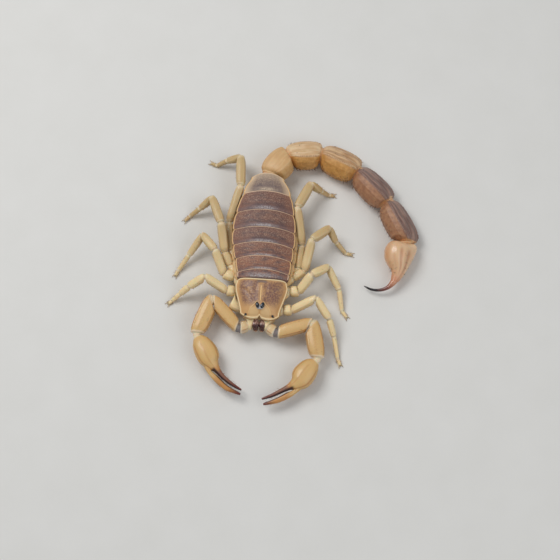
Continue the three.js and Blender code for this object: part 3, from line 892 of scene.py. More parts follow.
# %% Finish of the back plates
def plate_finish(name, dark, red, glint_and_pale_band, edge, pale):
    """Horn that is dark and shiny in front and rough and redder behind, with a pale edge. A band
    near the front takes glint_and_pale_band: a painted glint on the back plates, and the last
    plate's own pale band.
    """
    finish = Finish(name)
    place = finish.node("ShaderNodeSeparateXYZ", inputs={"Vector": finish.here}, output="Y")
    ahead = 1 - finish.ease(place, anchor.y + 2 * MM, anchor.y + 11 * MM)
    side, back, bead = finish.mark("side"), finish.mark("back"), finish.mark("bead")
    streaks = finish.cloud(0.9 * MM, detail=6, at=finish.stretched((0.5, 1.6, 1)))
    speckle = finish.ease(finish.cloud(0.2, detail=5), 0.47, 0.68)
    flecks = finish.ease(finish.cloud(0.28, detail=5), 0.52, 0.7)
    ruddy = finish.ease(streaks + back * 0.25, 0.42, 0.78)
    shine_band = finish.ease(back, 0.08, 0.16) * (1 - finish.ease(back, 0.17, 0.34))
    middle = 1 - finish.ease(side, 0.05, 0.6)
    sparkle = finish.ease(finish.cloud(0.24, detail=3), 0.4, 0.6)
    border = finish.mix(finish.ease(side, 0.86, 0.94), edge, (242, 198, 136))
    colour = finish.layered(dark, [
        (ruddy * (ahead * 0.6 + 0.4), red),
        (finish.ease(side, 0.5, 0.95) * 0.4, red),
        (speckle * finish.ease(back, 0.2, 0.55) * 0.3, edge),
        (flecks * 0.35, (64, 42, 44)),
        (finish.mark("grain") * 0.25, edge),
        (finish.ease(side, 0.55, 0.95) * pale, edge),
        (finish.ease(back, 0.5, 1) * pale * 0.6, edge),
        # painted glint with sparkle in the middle of the front band; on the last plate, its own
        # pale band
        (shine_band * (0.15 + middle * 0.75) * (0.3 + sparkle * 0.7), glint_and_pale_band),
        (finish.ease(bead, 0.3, 0.85) * (0.6 + streaks * 0.6), border)])
    grain = finish.pitted(0.1, 0.014, 0.05, 0.01, 5)
    gloss = 0.56 - shine_band * 0.06 + finish.cloud(0.3) * 0.1
    return finish.shade(colour, gloss, grain, {"Coat Weight": 0.12, "Coat Roughness": 0.4})


# %% The seven plates
# the back plates' (184, 176, 176) is a painted blue-grey glint; the last plate's band is its own
# pale colour
back_horn = plate_finish("back_plate_horn", (92, 67, 67), (154, 101, 75),
                         (184, 176, 176), (236, 202, 168), 0.0)
last_horn = plate_finish("last_plate_horn", (118, 101, 97), (158, 130, 112),
                         (220, 196, 168), (236, 206, 168), 0.65)
for number in PLATES:
    shell = Shell("side", "back", "bead", "grain")
    shell.plate(PLATE_COLUMNS, PLATE_ROWS, partial(plate_point, number), PLATE_DEPTH * MM)
    horn = last_horn if number == PLATES[-1] else back_horn
    shell.keep(f"back_plate_{number}", horn, "plates", f"tergite_{number}")
print("a back plate has", len(pieces["back_plate_3"].data.polygons), "faces")

# %% [markdown]
# ## Soft trunk
# Under the plates the trunk is one soft skin, which shows as a golden folded margin along both
# sides and between the bases of the legs. It is one closed tube from the jaws to the tail, so
# that no seam shows where the head meets the body, and it tucks in under every plate.

# %% Measures of the trunk's skin
SKIN_FRONT, SKIN_REAR = -7.6, 24.35
HEAD_TOP, HEAD_WIDEST = 4.75, 3.6
SKIN_SIDES, SKIN_STEPS = 112, 190
FOLD_TURN = math.radians(34)
FLANK_PROUD = 0.34
BELLY_START = 7.5
HEAD_PLACES = (-7.5, -6.5, -5, -3.4, -1.8, -0.7)
TRUNK_PLACES = (0.6, 2.2, 4.2, 6.2, 8.2, 10, 12.5, 15, 17.5, 19.5, 21.3, 22.8, 24)


def trunk_row(name, y):
    """Half width, middle, top, widest height and bottom of the trunk's solid at one place."""
    cut = [in_mm(point) for point in cut_across(name, y * MM + anchor.y)]
    left, right = max(cut, key=lambda p: p.x), min(cut, key=lambda p: p.x)
    heights = [point.z for point in cut]
    return ((left.x - right.x) / 2, (left.x + right.x) / 2, max(heights), left.z, min(heights))


skin_sizes, skin_middle = [], []  # half width, top, widest height and bottom; and the middle
for y in HEAD_PLACES + TRUNK_PLACES:
    head = y in HEAD_PLACES
    half, centre, top, widest, bottom = trunk_row("coxosternum" if head else "abdomen", y)
    if head:
        top, widest, bottom = HEAD_TOP, HEAD_WIDEST, bottom + 0.15
    else:
        top, bottom = top + 0.25, bottom if y > BELLY_START else skin_sizes[0][1][3]
    skin_sizes.append((y, Vector((half, top, widest, bottom))))
    skin_middle.append((y, centre))


# %% The skin of the trunk
def skin_point(turn, share):
    """A point of the skin, at an angle round the trunk and a share of its length."""
    y = SKIN_FRONT + (SKIN_REAR - SKIN_FRONT) * share
    half, top, widest, bottom = smooth(skin_sizes, y)
    centre = smooth(skin_middle, y)
    across, high = squared(turn, 0.75)
    full = closing(y - SKIN_FRONT, SKIN_REAR - SKIN_FRONT, 0.5, 0.5)
    seams = max(hump(y - edge + 0.45, 0.3) for edge in plate_edges)
    sideways = abs(across) ** 3
    fold = hump(turn_gap(turn, math.pi / 2) - (math.pi / 2 - FOLD_TURN), 0.1)
    wrinkle = noise.noise(Vector((y * 1.1, high * 4, across * 2))) * 0.5
    wrinkle += math.sin(turn * 26 + wrinkle * 5) * 0.3
    shown = FLANK_PROUD * between(y, -0.3, 1.2) * (1 - between(y, 12, 19))
    proud = sideways * (0.06 * wrinkle - 0.14 * seams + shown) + 0.12 * fold * (1 - seams)
    span = top - widest if high > 0 else widest - bottom
    x = centre + across * full * (half + proud)
    z = widest + high * span * (0.4 + 0.6 * full) + 0.05 * fold
    marks = {"fold": fold, "seam": seams, "wrinkle": wrinkle + 0.5, "high": high}
    return at_mm(x, y, z), marks


# %% Finish of the skin
def flank_finish():
    finish = Finish("flank_skin")
    fold, seam, wrinkle = finish.mark("fold"), finish.mark("seam"), finish.mark("wrinkle")
    mottle = finish.cloud(0.9, detail=5)
    below = 1 - finish.ease(finish.mark("high"), -0.6, 0.1)
    colour = finish.layered((216, 170, 112), [
        (mottle, (240, 204, 150)),
        (finish.ease(wrinkle, 0.2, 0.8) * 0.4, (236, 206, 156)),
        # partly painted highlight: the fold is a pale line, made brighter where it faces up and
        # out
        (finish.ease(fold, 0.2, 0.8) * 0.85, (255, 228, 178)),
        # painted shade: darker skin where it tucks in under each plate's edge
        (seam * 0.4, (160, 112, 70)),
        (below * 0.5, (206, 184, 142))])
    bumps = finish.relief(finish.cloud(0.14, detail=5), 0.03)
    fixed = {"Subsurface Weight": 0.15, "Subsurface Scale": 0.4 * MM}
    return finish.shade(colour, 0.48, bumps, fixed)


flank_skin = flank_finish()
skin = Shell("fold", "seam", "wrinkle", "high")
skin.tube(SKIN_SIDES, SKIN_STEPS, skin_point)
skin.keep("trunk_skin", flank_skin, "flank", "abdomen", "coxosternum")
print("trunk skin:", len(pieces["trunk_skin"].data.polygons), "faces")

# %% [markdown]
# ## Underside
# Nobody sees the belly while the model lies on its tray, but it is turned over when it is
# handled. Five belly plates follow the back plates, the first four with a pair of slits that
# the animal breathes through. In front of them lie the two toothed combs, a small breast plate
# and the long bases of the legs.

# %% Belly plates with their breathing slits
BELLY_MARKS = ("back", "slit")
BELLY_EDGES = [7.7] + plate_edges[3:]
BELLY_SHARE = 0.84
BELLY_PROUD = 0.09
BELLY_DEPTH = 0.14
BELLY_COLUMNS, BELLY_ROWS = 96, 30
SLIT_PLATES = 4
SLIT_PLACE, SLIT_LONG, SLIT_WIDE = 0.52, 0.42, 0.16


def belly_point(number, across, share):
    """A point of a belly plate's lower face, a little outside the skin."""
    front, rear = BELLY_EDGES[number], BELLY_EDGES[number + 1]
    y = front + 0.12 + (rear - front + 0.02) * share - 0.35 * across ** 2
    half, _, widest, bottom = smooth(skin_sizes, y)
    a = across * BELLY_SHARE
    sag = (1 - abs(a) ** 2.67) ** 0.375
    edge = min((1 - abs(across)) * 5, (1 - share) * 4, 1)
    slit = 0
    if number < SLIT_PLATES:
        slit = hump(math.hypot((abs(a) - SLIT_PLACE) * half / SLIT_LONG + (share - 0.5) * 2.4,
                               (share - 0.5) * (rear - front) / SLIT_WIDE), 0.8)
    grooves = hump(abs(a) - 0.3, 0.02) * (1 - edge * 0.4) * 0.03
    z = widest - (widest - bottom) * sag - BELLY_PROUD * (0.4 + 0.6 * edge) + grooves
    marks = {"back": share, "slit": slit}
    return at_mm(smooth(skin_middle, y) + a * half, y, z + 0.14 * slit), marks


# %% The five belly plates
def belly_finish():
    finish = Finish("belly_horn")
    mottle = finish.cloud(1.2, detail=5)
    rear = finish.ease(finish.mark("back"), 0.8, 1)
    colour = finish.layered((190, 160, 112), [
        (mottle, (214, 190, 146)),
        (rear * 0.6, (232, 216, 180)),
        (finish.mark("slit") * 0.9, (74, 50, 36))])
    bumps = finish.relief(finish.cells(0.16), 0.01)
    return finish.shade(colour, 0.36, bumps, {"Coat Weight": 0.2})


belly_horn = belly_finish()
for number in range(len(BELLY_EDGES) - 1):
    shell = Shell(*BELLY_MARKS)
    shell.plate(BELLY_COLUMNS, BELLY_ROWS, partial(belly_point, number), -BELLY_DEPTH * MM)
    shell.keep(f"belly_plate_{number + 1}", belly_horn, "flank")

# %% Breast plate and the two covers behind it
BREAST = {"y": 1.7, "half": 0.85, "length": 2.0, "height": 1.42}
COVER = {"x": 0.85, "y": 4.2, "half": 0.85, "length": 1.9}


def shield_ball(shell, centre, radii, pinch):
    """A flat rounded plate made from a ball, narrower towards the head by pinch."""
    def place(at):
        narrow = 1 - pinch * (0.5 - at.y / 2)
        x, y, z = (middle + size * share for middle, size, share in zip(centre, radii, at))
        return at_mm(centre[0] + (x - centre[0]) * narrow, y, z)

    shell.ball(4, place)


breast = Shell(*BELLY_MARKS)
shield_ball(breast, (0, BREAST["y"], BREAST["height"]),
            (BREAST["half"], BREAST["length"] / 2, 0.3), 0.7)
breast.keep("breast_plate", belly_horn, "flank")
covers = Shell(*BELLY_MARKS)
for way in (-1, 1):
    shield_ball(covers, (way * COVER["x"], COVER["y"], BREAST["height"]),
                (COVER["half"], COVER["length"] / 2, 0.26), 0.2)
covers.keep("breast_covers", belly_horn, "flank")

# %% Middle line of a comb's solid
COMB_HALVES = (0.5, 0.78, 0.38)
COMB_FLAT = 0.34
COMB_END = 7


def comb_limb(solid):
    """A limb through a comb's two ends, which lie furthest apart along X, and its middle."""
    mesh = joined(solid)
    points = sorted((vert.co.copy() for vert in mesh.verts), key=lambda at: abs(at.x - anchor.x))
    mesh.free()
    groups = points[:COMB_END], points[COMB_END:-COMB_END], points[-COMB_END:]
    middles = [sum(group, Vector()) / len(group) for group in groups]
    return limb_through(middles, [half * MM for half in COMB_HALVES], flat=COMB_FLAT)


# %% Combs, each a jointed bar with a row of flat teeth
COMB_TEETH = 26


def comb(side_name):
    """A bar with four swellings along a comb's solid, and teeth along its rear edge."""
    solid = f"pectine_{side_name}"
    limb = comb_limb(solid)
    shell = Shell(*BELLY_MARKS)

    def bar(turn, share):
        distance = limb.length * share
        full = 0.62 * closing(distance, limb.length, 0.3 * MM, 0.4)
        full *= 1 - 0.1 * hump(math.sin(share * math.pi * 4), 0.25)
        at = limb.point(distance, math.cos(turn) * full, math.sin(turn) * full * 1.4)
        return at, {"back": 0.3}

    shell.tube(20, 50, bar)
    rear = 1 if limb.section(0).side.y > 0 else -1
    for step in range(COMB_TEETH):
        at = limb.section(limb.length * (0.04 + 0.93 * step / COMB_TEETH))
        long, wide = at.half * 0.62, limb.length / COMB_TEETH * 0.46
        centre = at.centre + at.side * rear * at.half * 0.75
        turned = Matrix((at.side * long, at.travel * wide, at.rise * 0.16 * MM)).transposed()
        shell.ball(2, lambda point: centre + turned @ point)
    shell.keep(f"comb_{side_name}", belly_horn, "flank", solid)


for side_name in SIDES:
    comb(side_name)
print("comb teeth:", 2 * COMB_TEETH)

# %% [markdown]
# ## Legs
# Each leg is a chain of horn tubes: a base, a hip ring, a thigh, a knee piece, a shin and two
# foot pieces with a pair of claws. The tubes are deeper than wide, keeled along their edges,
# and roll inwards at their ends over pale soft skin. One function makes any of them from the
# rings of its solid, so all eight legs keep their own bends and sizes.

# %% Styles of horn tubes
# power: how boxy its section is; keels: (degrees round it, height); collar: height of the ring
# before its end; grain: spacing of its grains; size and fuller: how much it is filled out.
Style = namedtuple("Style", "power keels collar grain size fuller")
GRAIN_HEIGHT = 0.045


def keel_height(turn, keels, width=0.13):
    """How high the keels stand at an angle, from (degrees, height) pairs."""
    return max((high * hump(turn_gap(turn, math.radians(at)), width) for at, high in keels),
               default=0)


# %% A horn tube along a limb
def horn_tube(shell, limb, start, end, sides, steps, style, extra=None):
    """Adds a horn tube from start to end along a limb, keeled and rolled in at both ends."""
    length = end - start
    lip = min(0.24 * MM, length * 0.2)
    highest = max((high for _, high in style.keels), default=0.001)
    widest = max(limb.section(limb.length * step / 12).half for step in range(13))

    def place(turn, share):
        share = ease_ends(share)
        distance = start + length * share
        across, high = squared(turn, style.power)
        middle = between(min(share, 1 - share), 0.02, 0.16)
        keel = keel_height(turn, style.keels) * middle
        full = closing(distance - start, length, lip)
        ring = style.collar * hump(length * (1 - share) - 0.3 * MM, 0.16 * MM)
        at = limb.section(distance)
        grown = full * (1 - highest * 0.5 + keel + ring) * style.size
        grown *= (widest / at.half) ** style.fuller
        point = at.centre + at.side * (across * at.half * grown)
        point += at.rise * (high * at.height * grown)
        grain = 0
        if style.grain:
            grain = beads(point / MM, style.grain) * (0.25 + keel / highest) * middle
        outward = (point - at.centre).normalized()
        point += outward * grain * GRAIN_HEIGHT * MM
        point.z = max(point.z, 0)
        marks = {"along": share, "up": math.sin(turn), "inner": math.cos(turn),
                 "keel": keel / highest, "grain": grain}
        if extra:
            marks.update(extra(share, outward))
        return point, {mark: value for mark, value in marks.items() if mark in shell.marks}

    shell.tube(sides, steps, place)


# %% The soft skin of a joint
def joint_skin(shell, before, before_end, after, after_start, tuck=0.35, narrow=0.84):
    """Adds the soft folded skin of a joint, from inside one tube to inside the next."""
    rows = [before.section(before_end - tuck * MM), before.section(before_end),
            after.section(after_start), after.section(after_start + tuck * MM)]
    limb = Limb([Ring(row.centre, row.travel, row.half, row.height) for row in rows])

    def place(turn, share):
        across, high = squared(turn, 0.9)
        fold = narrow + 0.05 * math.cos(share * math.tau * 4)
        fold *= closing(share * limb.length, limb.length, 0.12 * MM, 0.5)
        point = limb.point(limb.length * share, across * fold, high * fold)
        point.z = max(point.z, 0)
        return point, {}

    shell.tube(28, 26, place)


# %% Finish of the legs
def along_limb(finish, stretch=0.35):
    """A place that runs round and along a limb, for streaks that follow it."""
    around = {"X": finish.mark("inner"), "Y": finish.mark("up"),
              "Z": finish.mark("along") * stretch}
    return finish.node("ShaderNodeCombineXYZ", inputs=around)


def leg_finish():
    finish = Finish("leg_horn")
    along, up = finish.mark("along"), finish.mark("up")
    streaks = finish.cloud(0.3, detail=4, at=along_limb(finish))
    dots = finish.ease(finish.cloud(0.26, detail=3), 0.6, 0.76)
    place = finish.node("ShaderNodeSeparateXYZ", inputs={"Vector": finish.here}, output="Y")
    rear = finish.ease(place, anchor.y - 2 * MM, anchor.y + 14 * MM)
    front_horn = finish.mix(streaks, (238, 208, 150), (252, 229, 180))
    rear_horn = finish.mix(streaks, (194, 162, 108), (216, 187, 138))
    # low marks the lower side of each tube, where painted shade goes
    low = 1 - finish.ease(up, -0.5, 0.55)
    ends = finish.ease(along, 0.86, 0.99) + (1 - finish.ease(along, 0.01, 0.09))
    colour = finish.layered(front_horn, [
        (rear, rear_horn),
        # painted shade: the lower side of each tube made darker and olive
        (low * 0.5, (184, 148, 88)),
        (dots * 0.25, (160, 122, 74)),
        (ends * 0.75, (240, 224, 190)),
        (finish.mark("keel") * 0.45, (236, 212, 166))])
    bumps = finish.pitted(0.1, 0.008, 0.05, 0.006, 4)
    fixed = {"Coat Weight": 0.12, "Subsurface Weight": 0.12, "Subsurface Scale": 0.3 * MM}
    return finish.shade(colour, 0.36 + streaks * 0.12, bumps, fixed)


# %% Finishes of the soft joints and the claws
def joint_finish(name, dark, pale):
    fixed = {"Subsurface Weight": 0.2, "Subsurface Scale": 0.3 * MM}
    return mottled(name, (0.35, 3), dark, pale, 0.42, (0.1, 5, 0.02), fixed)


def claw_finish():
    finish = Finish("claw_horn")
    far = finish.ease(finish.mark("along"), 0.3, 0.95)
    colour = finish.mix(far, (202, 172, 116), (96, 58, 36))
    gloss = finish.cloud(0.2) * 0.1 + 0.22
    return finish.shade(colour, gloss, finish.relief(finish.cloud(0.08), 0.005))


leg_horn, claw_horn = leg_finish(), claw_finish()
joint_soft = joint_finish("joint_skin", (224, 196, 150), (244, 230, 204))

# %% Measures of the claws and spurs
CLAW = {"length": 0.85, "spread": 0.34, "thick": 0.1, "lift": 0.1}
TOE_LENGTH, TOE_THICK, TOE_HEIGHT = 0.35, 0.09, 0.06
SPUR_THICK, SPUR_SPREAD = 0.07, 0.22
NEAR_FLOOR = 0.05
OPEN_FOOT = 0.7


# %% Claws and spurs at the end of a leg
def spike(shell, root, tip, thick, bend=Vector(), sides=8, steps=6):
    """Adds a thin curved cone from a root to a tip."""
    middle = (root + tip) / 2 + bend
    limb = limb_through([root, middle, tip], [thick, thick * 0.7, thick * 0.12])
    thin_tube(shell, limb, sides, steps, lambda turn, share: {"along": share})


def claws(name, limb):
    """Two curved claws and a blunt toe under them, at the end of the foot."""
    at = limb.section(limb.length * OPEN_FOOT)
    shell = Shell("along")
    level = Vector((at.travel.x, at.travel.y, 0)).normalized()
    inside = at.centre - level * 0.1 * MM
    for way in (-1, 1):
        root = inside + at.side * way * 0.12 * MM
        tip = root + level * CLAW["length"] * MM + at.side * way * CLAW["spread"] * MM
        tip.z = NEAR_FLOOR * MM
        bend = UP * CLAW["lift"] * MM + at.side * way * 0.1 * MM
        spike(shell, root, tip, CLAW["thick"] * MM, bend, steps=10)
    toe = at.centre + level * TOE_LENGTH * MM
    toe.z = TOE_HEIGHT * MM
    spike(shell, inside, toe, TOE_THICK * MM)
    shell.keep(f"{name}_claws", claw_horn, "legs")


def spurs(shell, limb, share, length):
    """A pair of short spurs under the end of a foot piece."""
    at = limb.section(limb.length * share)
    for way in (-1, 1):
        root = at.centre + at.side * way * at.half * 0.6 - at.rise * at.height * 0.5
        tip = root + at.travel * length * MM + at.side * way * SPUR_SPREAD * MM
        tip.z = max(tip.z, NEAR_FLOOR * MM)
        spike(shell, root, tip, SPUR_THICK * MM)


# %% Measures and styles of the legs
LEG_MARKS = ("along", "up", "inner", "keel")
COXA_ROOTS = {1: -6.0, 2: -4.1, 3: -1.9, 4: 0.6}  # number of the leg, and its place along Y
COXA_X, COXA_Z = 1.0, 2.15
COXA_HALF = 1.15
LEG_KEELS = ((48, 0.05), (132, 0.05), (-45, 0.035), (-135, 0.035))
LEG_STYLES = {
    "coxa": Style(0.85, ((60, 0.04), (120, 0.04)), 0.03, 0, 1.1, 0),
    "trochanter": Style(0.85, ((60, 0.05), (120, 0.05)), 0.03, 0, 1.16, 0.2),
    "femur": Style(0.8, LEG_KEELS, 0.03, 0.19, 1.08, 0.3),
    "patella": Style(0.8, LEG_KEELS, 0.03, 0.19, 1.08, 0.3),
    "tibia": Style(0.9, ((50, 0.03), (130, 0.03)), 0.03, 0, 1.05, 0.2),
    "basitarsus": Style(0.95, (), 0.04, 0, 1.03, 0),
    "telotarsus": Style(0.95, (), 0.0, 0, 0.95, 0),
}
COXA_BENDS = {"leg_1_right": (-5.7, -4.9, 2.9)}
SPUR_LENGTH, SPUR_PLACE = 0.5, 0.93
limbs = {}


# %% The base of a limb
def coxa(name, limb, root, half, flat):
    """The long base of a limb, from the middle of the breast out to its first ring."""
    hip = limb.section(0)
    bend = at_mm(*COXA_BENDS[name]) if name in COXA_BENDS else root.lerp(hip.centre, 0.5)
    end = hip.centre - hip.travel * 0.12 * MM
    rings = [Ring(root, (bend - root).normalized(), half * 0.6, half * 0.6),
             Ring(bend, (end - root).normalized(), half, half * flat),
             Ring(end, hip.travel, hip.half * 1.12, hip.height * 1.1)]
    base = Limb(rings)
    shell = Shell(*LEG_MARKS)
    horn_tube(shell, base, 0, base.length, 36, 34, LEG_STYLES["coxa"])
    shell.keep(f"{name}_coxa", leg_horn, "legs", "coxosternum")
    return base


# %% A leg, from its base to its claws
Part = namedtuple("Part", "name limb start end")
WITHIN, PAST = 0.1, -0.03  # mm by which a tube stops within the length of its limb


def leg_parts(name):
    """Name, rings and solid of each tube of a leg. Three solids carry six tubes."""
    thigh = read_rings(f"{name}_thigh", anchor)
    shank = read_rings(f"{name}_shank", thigh[-1].centre)
    foot = read_rings(f"{name}_foot", shank[-1].centre)
    return (("trochanter", thigh[:4], "thigh"), ("femur", thigh[3:], "thigh"),
            ("patella", shank, "shank"), ("tibia", foot[:4], "foot"),
            ("basitarsus", foot[3:6], "foot"), ("telotarsus", foot[5:], "foot"))


def leg(number, side_name):
    """All the pieces of a leg."""
    name = f"leg_{number}_{side_name}"
    parts = leg_parts(name)
    root = at_mm(SIDES[side_name] * COXA_X, COXA_ROOTS[number], COXA_Z)
    base = coxa(name, Limb(parts[0][1]), root, COXA_HALF * MM, 1.0)
    chain = [Part("coxa", base, 0, base.length)]
    for part, rings, solid in parts:
        limb = Limb(rings)
        start = (WITHIN if part in ("femur", "basitarsus", "telotarsus") else PAST) * MM
        past = (WITHIN if part in ("trochanter", "tibia", "basitarsus") else PAST) * MM
        end = limb.length * OPEN_FOOT if part == "telotarsus" else limb.length - past
        shell = Shell(*LEG_MARKS)
        horn_tube(shell, limb, start, end, 40, 40, LEG_STYLES[part])
        if part in ("tibia", "basitarsus"):
            spurs(shell, limb, SPUR_PLACE, SPUR_LENGTH)
        shell.keep(f"{name}_{part}", leg_horn, "legs", f"{name}_{solid}")
        chain.append(Part(part, limb, start, end))
    soft = Shell()
    for before, after in zip(chain, chain[1:]):
        joint_skin(soft, before.limb, before.end, after.limb, after.start, 0.25)
    soft.keep(f"{name}_joints", joint_soft, "legs")
    claws(name, limb)
    limbs[name] = chain


# %% The eight legs
for number in COXA_ROOTS:
    for side_name in SIDES:
        leg(number, side_name)
print("leg pieces:", sum(name.startswith("leg_") for name in pieces))

# %% [markdown]
# ## Pincer arms
# The arms are the animal's hands and feelers. Their thigh and forearm have flat tops between
# granular orange-brown edges. The hand is a smooth golden bulb that runs out into a fixed
# finger, and a second finger closes against it. Both fingers are dark along the edges that
# meet, and carry rows of tiny teeth there.

# %% Finishes of the arms
def arm_finish(name, dark, pale, collar):
    """Golden horn with orange edges, and a whitish collar over that share of its ends."""
    finish = Finish(name)
    along, up, keel = finish.mark("along"), finish.mark("up"), finish.mark("keel")
    streaks = finish.cloud(0.35, detail=4, at=along_limb(finish, 0.8))
    top = finish.ease(up, 0.55, 0.98)
    rough_edge = finish.ease(keel, 0.25, 0.9) * (0.45 + finish.cloud(0.3) * 0.5)
    ends = finish.ease(along, 1 - collar, 1 - collar / 3) + (1 - finish.ease(along, 0, collar))
    finger, facing = finish.mark("finger"), finish.mark("facing")
    meeting = finish.ease(finger, 0.05, 0.35) * finish.ease(facing, 0.15, 0.55)
    colour = finish.layered(dark, [
        (streaks, pale),
        (top * 0.5, (228, 190, 130)),
        ((1 - finish.ease(up, -0.5, 0.4)) * 0.65, (190, 132, 66)),
        (rough_edge * 0.8, (184, 120, 60)),
        (finish.mark("grain") * 0.45, (158, 96, 50)),
        (ends * 0.8, (238, 222, 196)),
        (finish.ease(finger, 0, 0.5) * 0.85, (198, 136, 74)),
        (finish.ease(finger, 0.5, 1) * 0.85, (124, 82, 72)),
        (finish.ease(along, 0.72, 0.97) * finish.ease(finger, 0, 0.4), (112, 46, 34)),
        (meeting * 0.95, (54, 30, 32))])
    bumps = finish.pitted(0.12, 0.008, 0.05, 0.006, 4)
    fixed = {"Coat Weight": 0.18, "Subsurface Weight": 0.1, "Subsurface Scale": 0.35 * MM}
    return finish.shade(colour, 0.34 + streaks * 0.1, bumps, fixed)


arm_horn = arm_finish("arm_horn", (204, 158, 94), (222, 182, 120), 0.08)
hand_horn = arm_finish("hand_horn", (206, 160, 94), (224, 184, 120), 0.03)
hip_horn = arm_finish("arm_hip_horn", (206, 178, 132), (232, 212, 178), 0.25)
tooth_horn = mottled("tooth_horn", (0.2, 3), (34, 18, 18), (74, 38, 34), 0.2, (0.05, 3, 0.004))
# painted shadow: dark grey-blue skin at the joint between hip and thigh, where shade falls
shoulder_shadow_skin = joint_finish("joint_skin_painted_shadow", (104, 96, 100), (160, 148, 142))

# %% Arm parts between the trunk and the hand
ARM_MARKS = LEG_MARKS + ("grain", "finger", "facing")
ARM_EDGES = ((40, 0.09), (140, 0.09), (-38, 0.06), (-142, 0.06))
ARM_STYLES = {
    "trochanter": Style(0.85, ((50, 0.07), (130, 0.07)), 0.03, 0.24, 1.05, 0.3),
    "femur": Style(0.72, ARM_EDGES, 0.03, 0.24, 1.02, 0.55),
    "patella": Style(0.72, ARM_EDGES + ((88, 0.045),), 0.03, 0.24, 1.0, 0.4),
}
ARM_ROOT = (1.7, -6.3, 2.9)
ARM_GAPS = {"trochanter": (-0.04, 0.12), "femur": (0.28, 0.1), "patella": (0.1, -0.04)}


def arm(side_name):
    """All the parts of an arm up to the wrist. Returns the shell of its soft joints and the
    wrist's limb.
    """
    name = f"pedipalp_{side_name}"
    soft, dusky = Shell(), Shell()
    nearest, before = anchor, None
    for part, style in ARM_STYLES.items():
        rings = read_rings(f"{name}_{part}", nearest)
        limb = Limb(rings)
        shell = Shell(*ARM_MARKS)
        start, past = (gap * MM for gap in ARM_GAPS[part])
        horn_tube(shell, limb, start, limb.length - past, 64, 64, style)
        horn = hip_horn if part == "trochanter" else arm_horn
        shell.keep(f"arm_{side_name}_{part}", horn, "arms", f"{name}_{part}")
        if before:
            # the joint from hip to thigh takes the skin with the painted shadow
            fold = dusky if part == "femur" else soft
            joint_skin(fold, before, before.length, limb, 0, 0.4, 1.0)
        else:
            root = at_mm(SIDES[side_name] * ARM_ROOT[0], *ARM_ROOT[1:])
            base = coxa(f"arm_{side_name}", limb, root, 1.3 * MM, 0.9)
            joint_skin(soft, base, base.length, limb, 0, 0.4, 0.9)
        nearest, before = rings[-1].centre, limb
        limbs[f"arm_{side_name}_{part}"] = limb
    dusky.keep(f"arm_{side_name}_shoulder_joint", shoulder_shadow_skin, "arms")
    return soft, before


# %% Measures of the hands
HAND_STYLE = Style(0.92, ((38, 0.03), (142, 0.03), (82, 0.02)), 0.0, 0, 1.08, -0.1)
FINGER_STYLE = Style(0.95, ((90, 0.04),), 0.0, 0, 1.12, -0.12)
FINGER_SHIFT = 0.34
PALM_SWELL, PALM_WIDEST = 0.12, 0.4
FINGER_ROOT, FINGER_BEND = 0.46, 0.64
FINGER_FACING = -0.15
KNUCKLE = {"share": 0.3, "out": 0.3, "half": 0.5, "height": 0.62}

# %% Teeth of the fingers
TOOTH_GAP, TOOTH_SIZE = 0.19, 0.065
TOOTH_ROW = 6  # every sixth tooth is big, and the rows between them lie at a slant


def teeth(shell, limb, first, last, towards):
    """Rows of small teeth along a finger, on the side that faces towards."""
    count = int((last - first) / (TOOTH_GAP * MM))
    for step in range(count):
        at = limb.section(first + (last - first) * step / count)
        across, high = at.side.dot(towards), at.rise.dot(towards)
        size = math.hypot(across, high)
        big = 1.5 if step % TOOTH_ROW == 0 else 1
        slant = (step % TOOTH_ROW / (TOOTH_ROW - 1) - 0.5) * 0.35
        edge = at.side * across / size * at.half * 0.9 + at.rise * high / size * at.height * 0.9
        centre = at.centre + edge + at.rise * slant * at.height
        radius = TOOTH_SIZE * MM * big * min(1, at.half / (0.35 * MM))
        shell.ball(1, lambda point: centre + point * radius)


# %% Middle lines of the palm and the movable finger
def palm_limb(name, wrist):
    """The palm with its fixed finger, swollen a little at its widest place."""
    rings = read_rings(f"{name}_hand", wrist.point(wrist.length, 0, 0))
    reach = (rings[-1].centre - rings[0].centre).length
    swollen = []
    for ring in rings:
        share = (ring.centre - rings[0].centre).length / reach
        swell = 1 + PALM_SWELL * hump(share - PALM_WIDEST, 0.16)
        swollen.append(ring._replace(half=ring.half * swell))
    return Limb(swollen)


def finger_limb(name, palm):
    """The movable finger, rooted in the palm, and the direction from the fixed one to it."""
    rings = read_rings(f"{name}_finger", palm.section(palm.length * 0.5).centre)
    plain = Limb(rings)
    gap = plain.section(plain.length * 0.5).centre - palm.section(palm.length * 0.8).centre
    towards = gap.normalized()
    inside = palm.section(palm.length * KNUCKLE["share"])
    knuckle = inside.centre + towards * inside.half * KNUCKLE["out"]
    ahead = (plain.section(0).centre - knuckle).normalized()
    root = Ring(knuckle, ahead, inside.half * KNUCKLE["half"], inside.height * KNUCKLE["height"])
    closer = []
    for index, ring in enumerate(rings):
        shift = FINGER_SHIFT * MM * (1 - (index / (len(rings) - 1)) ** 2)
        closer.append(ring._replace(centre=ring.centre - towards * shift))
    return Limb([root] + closer), towards


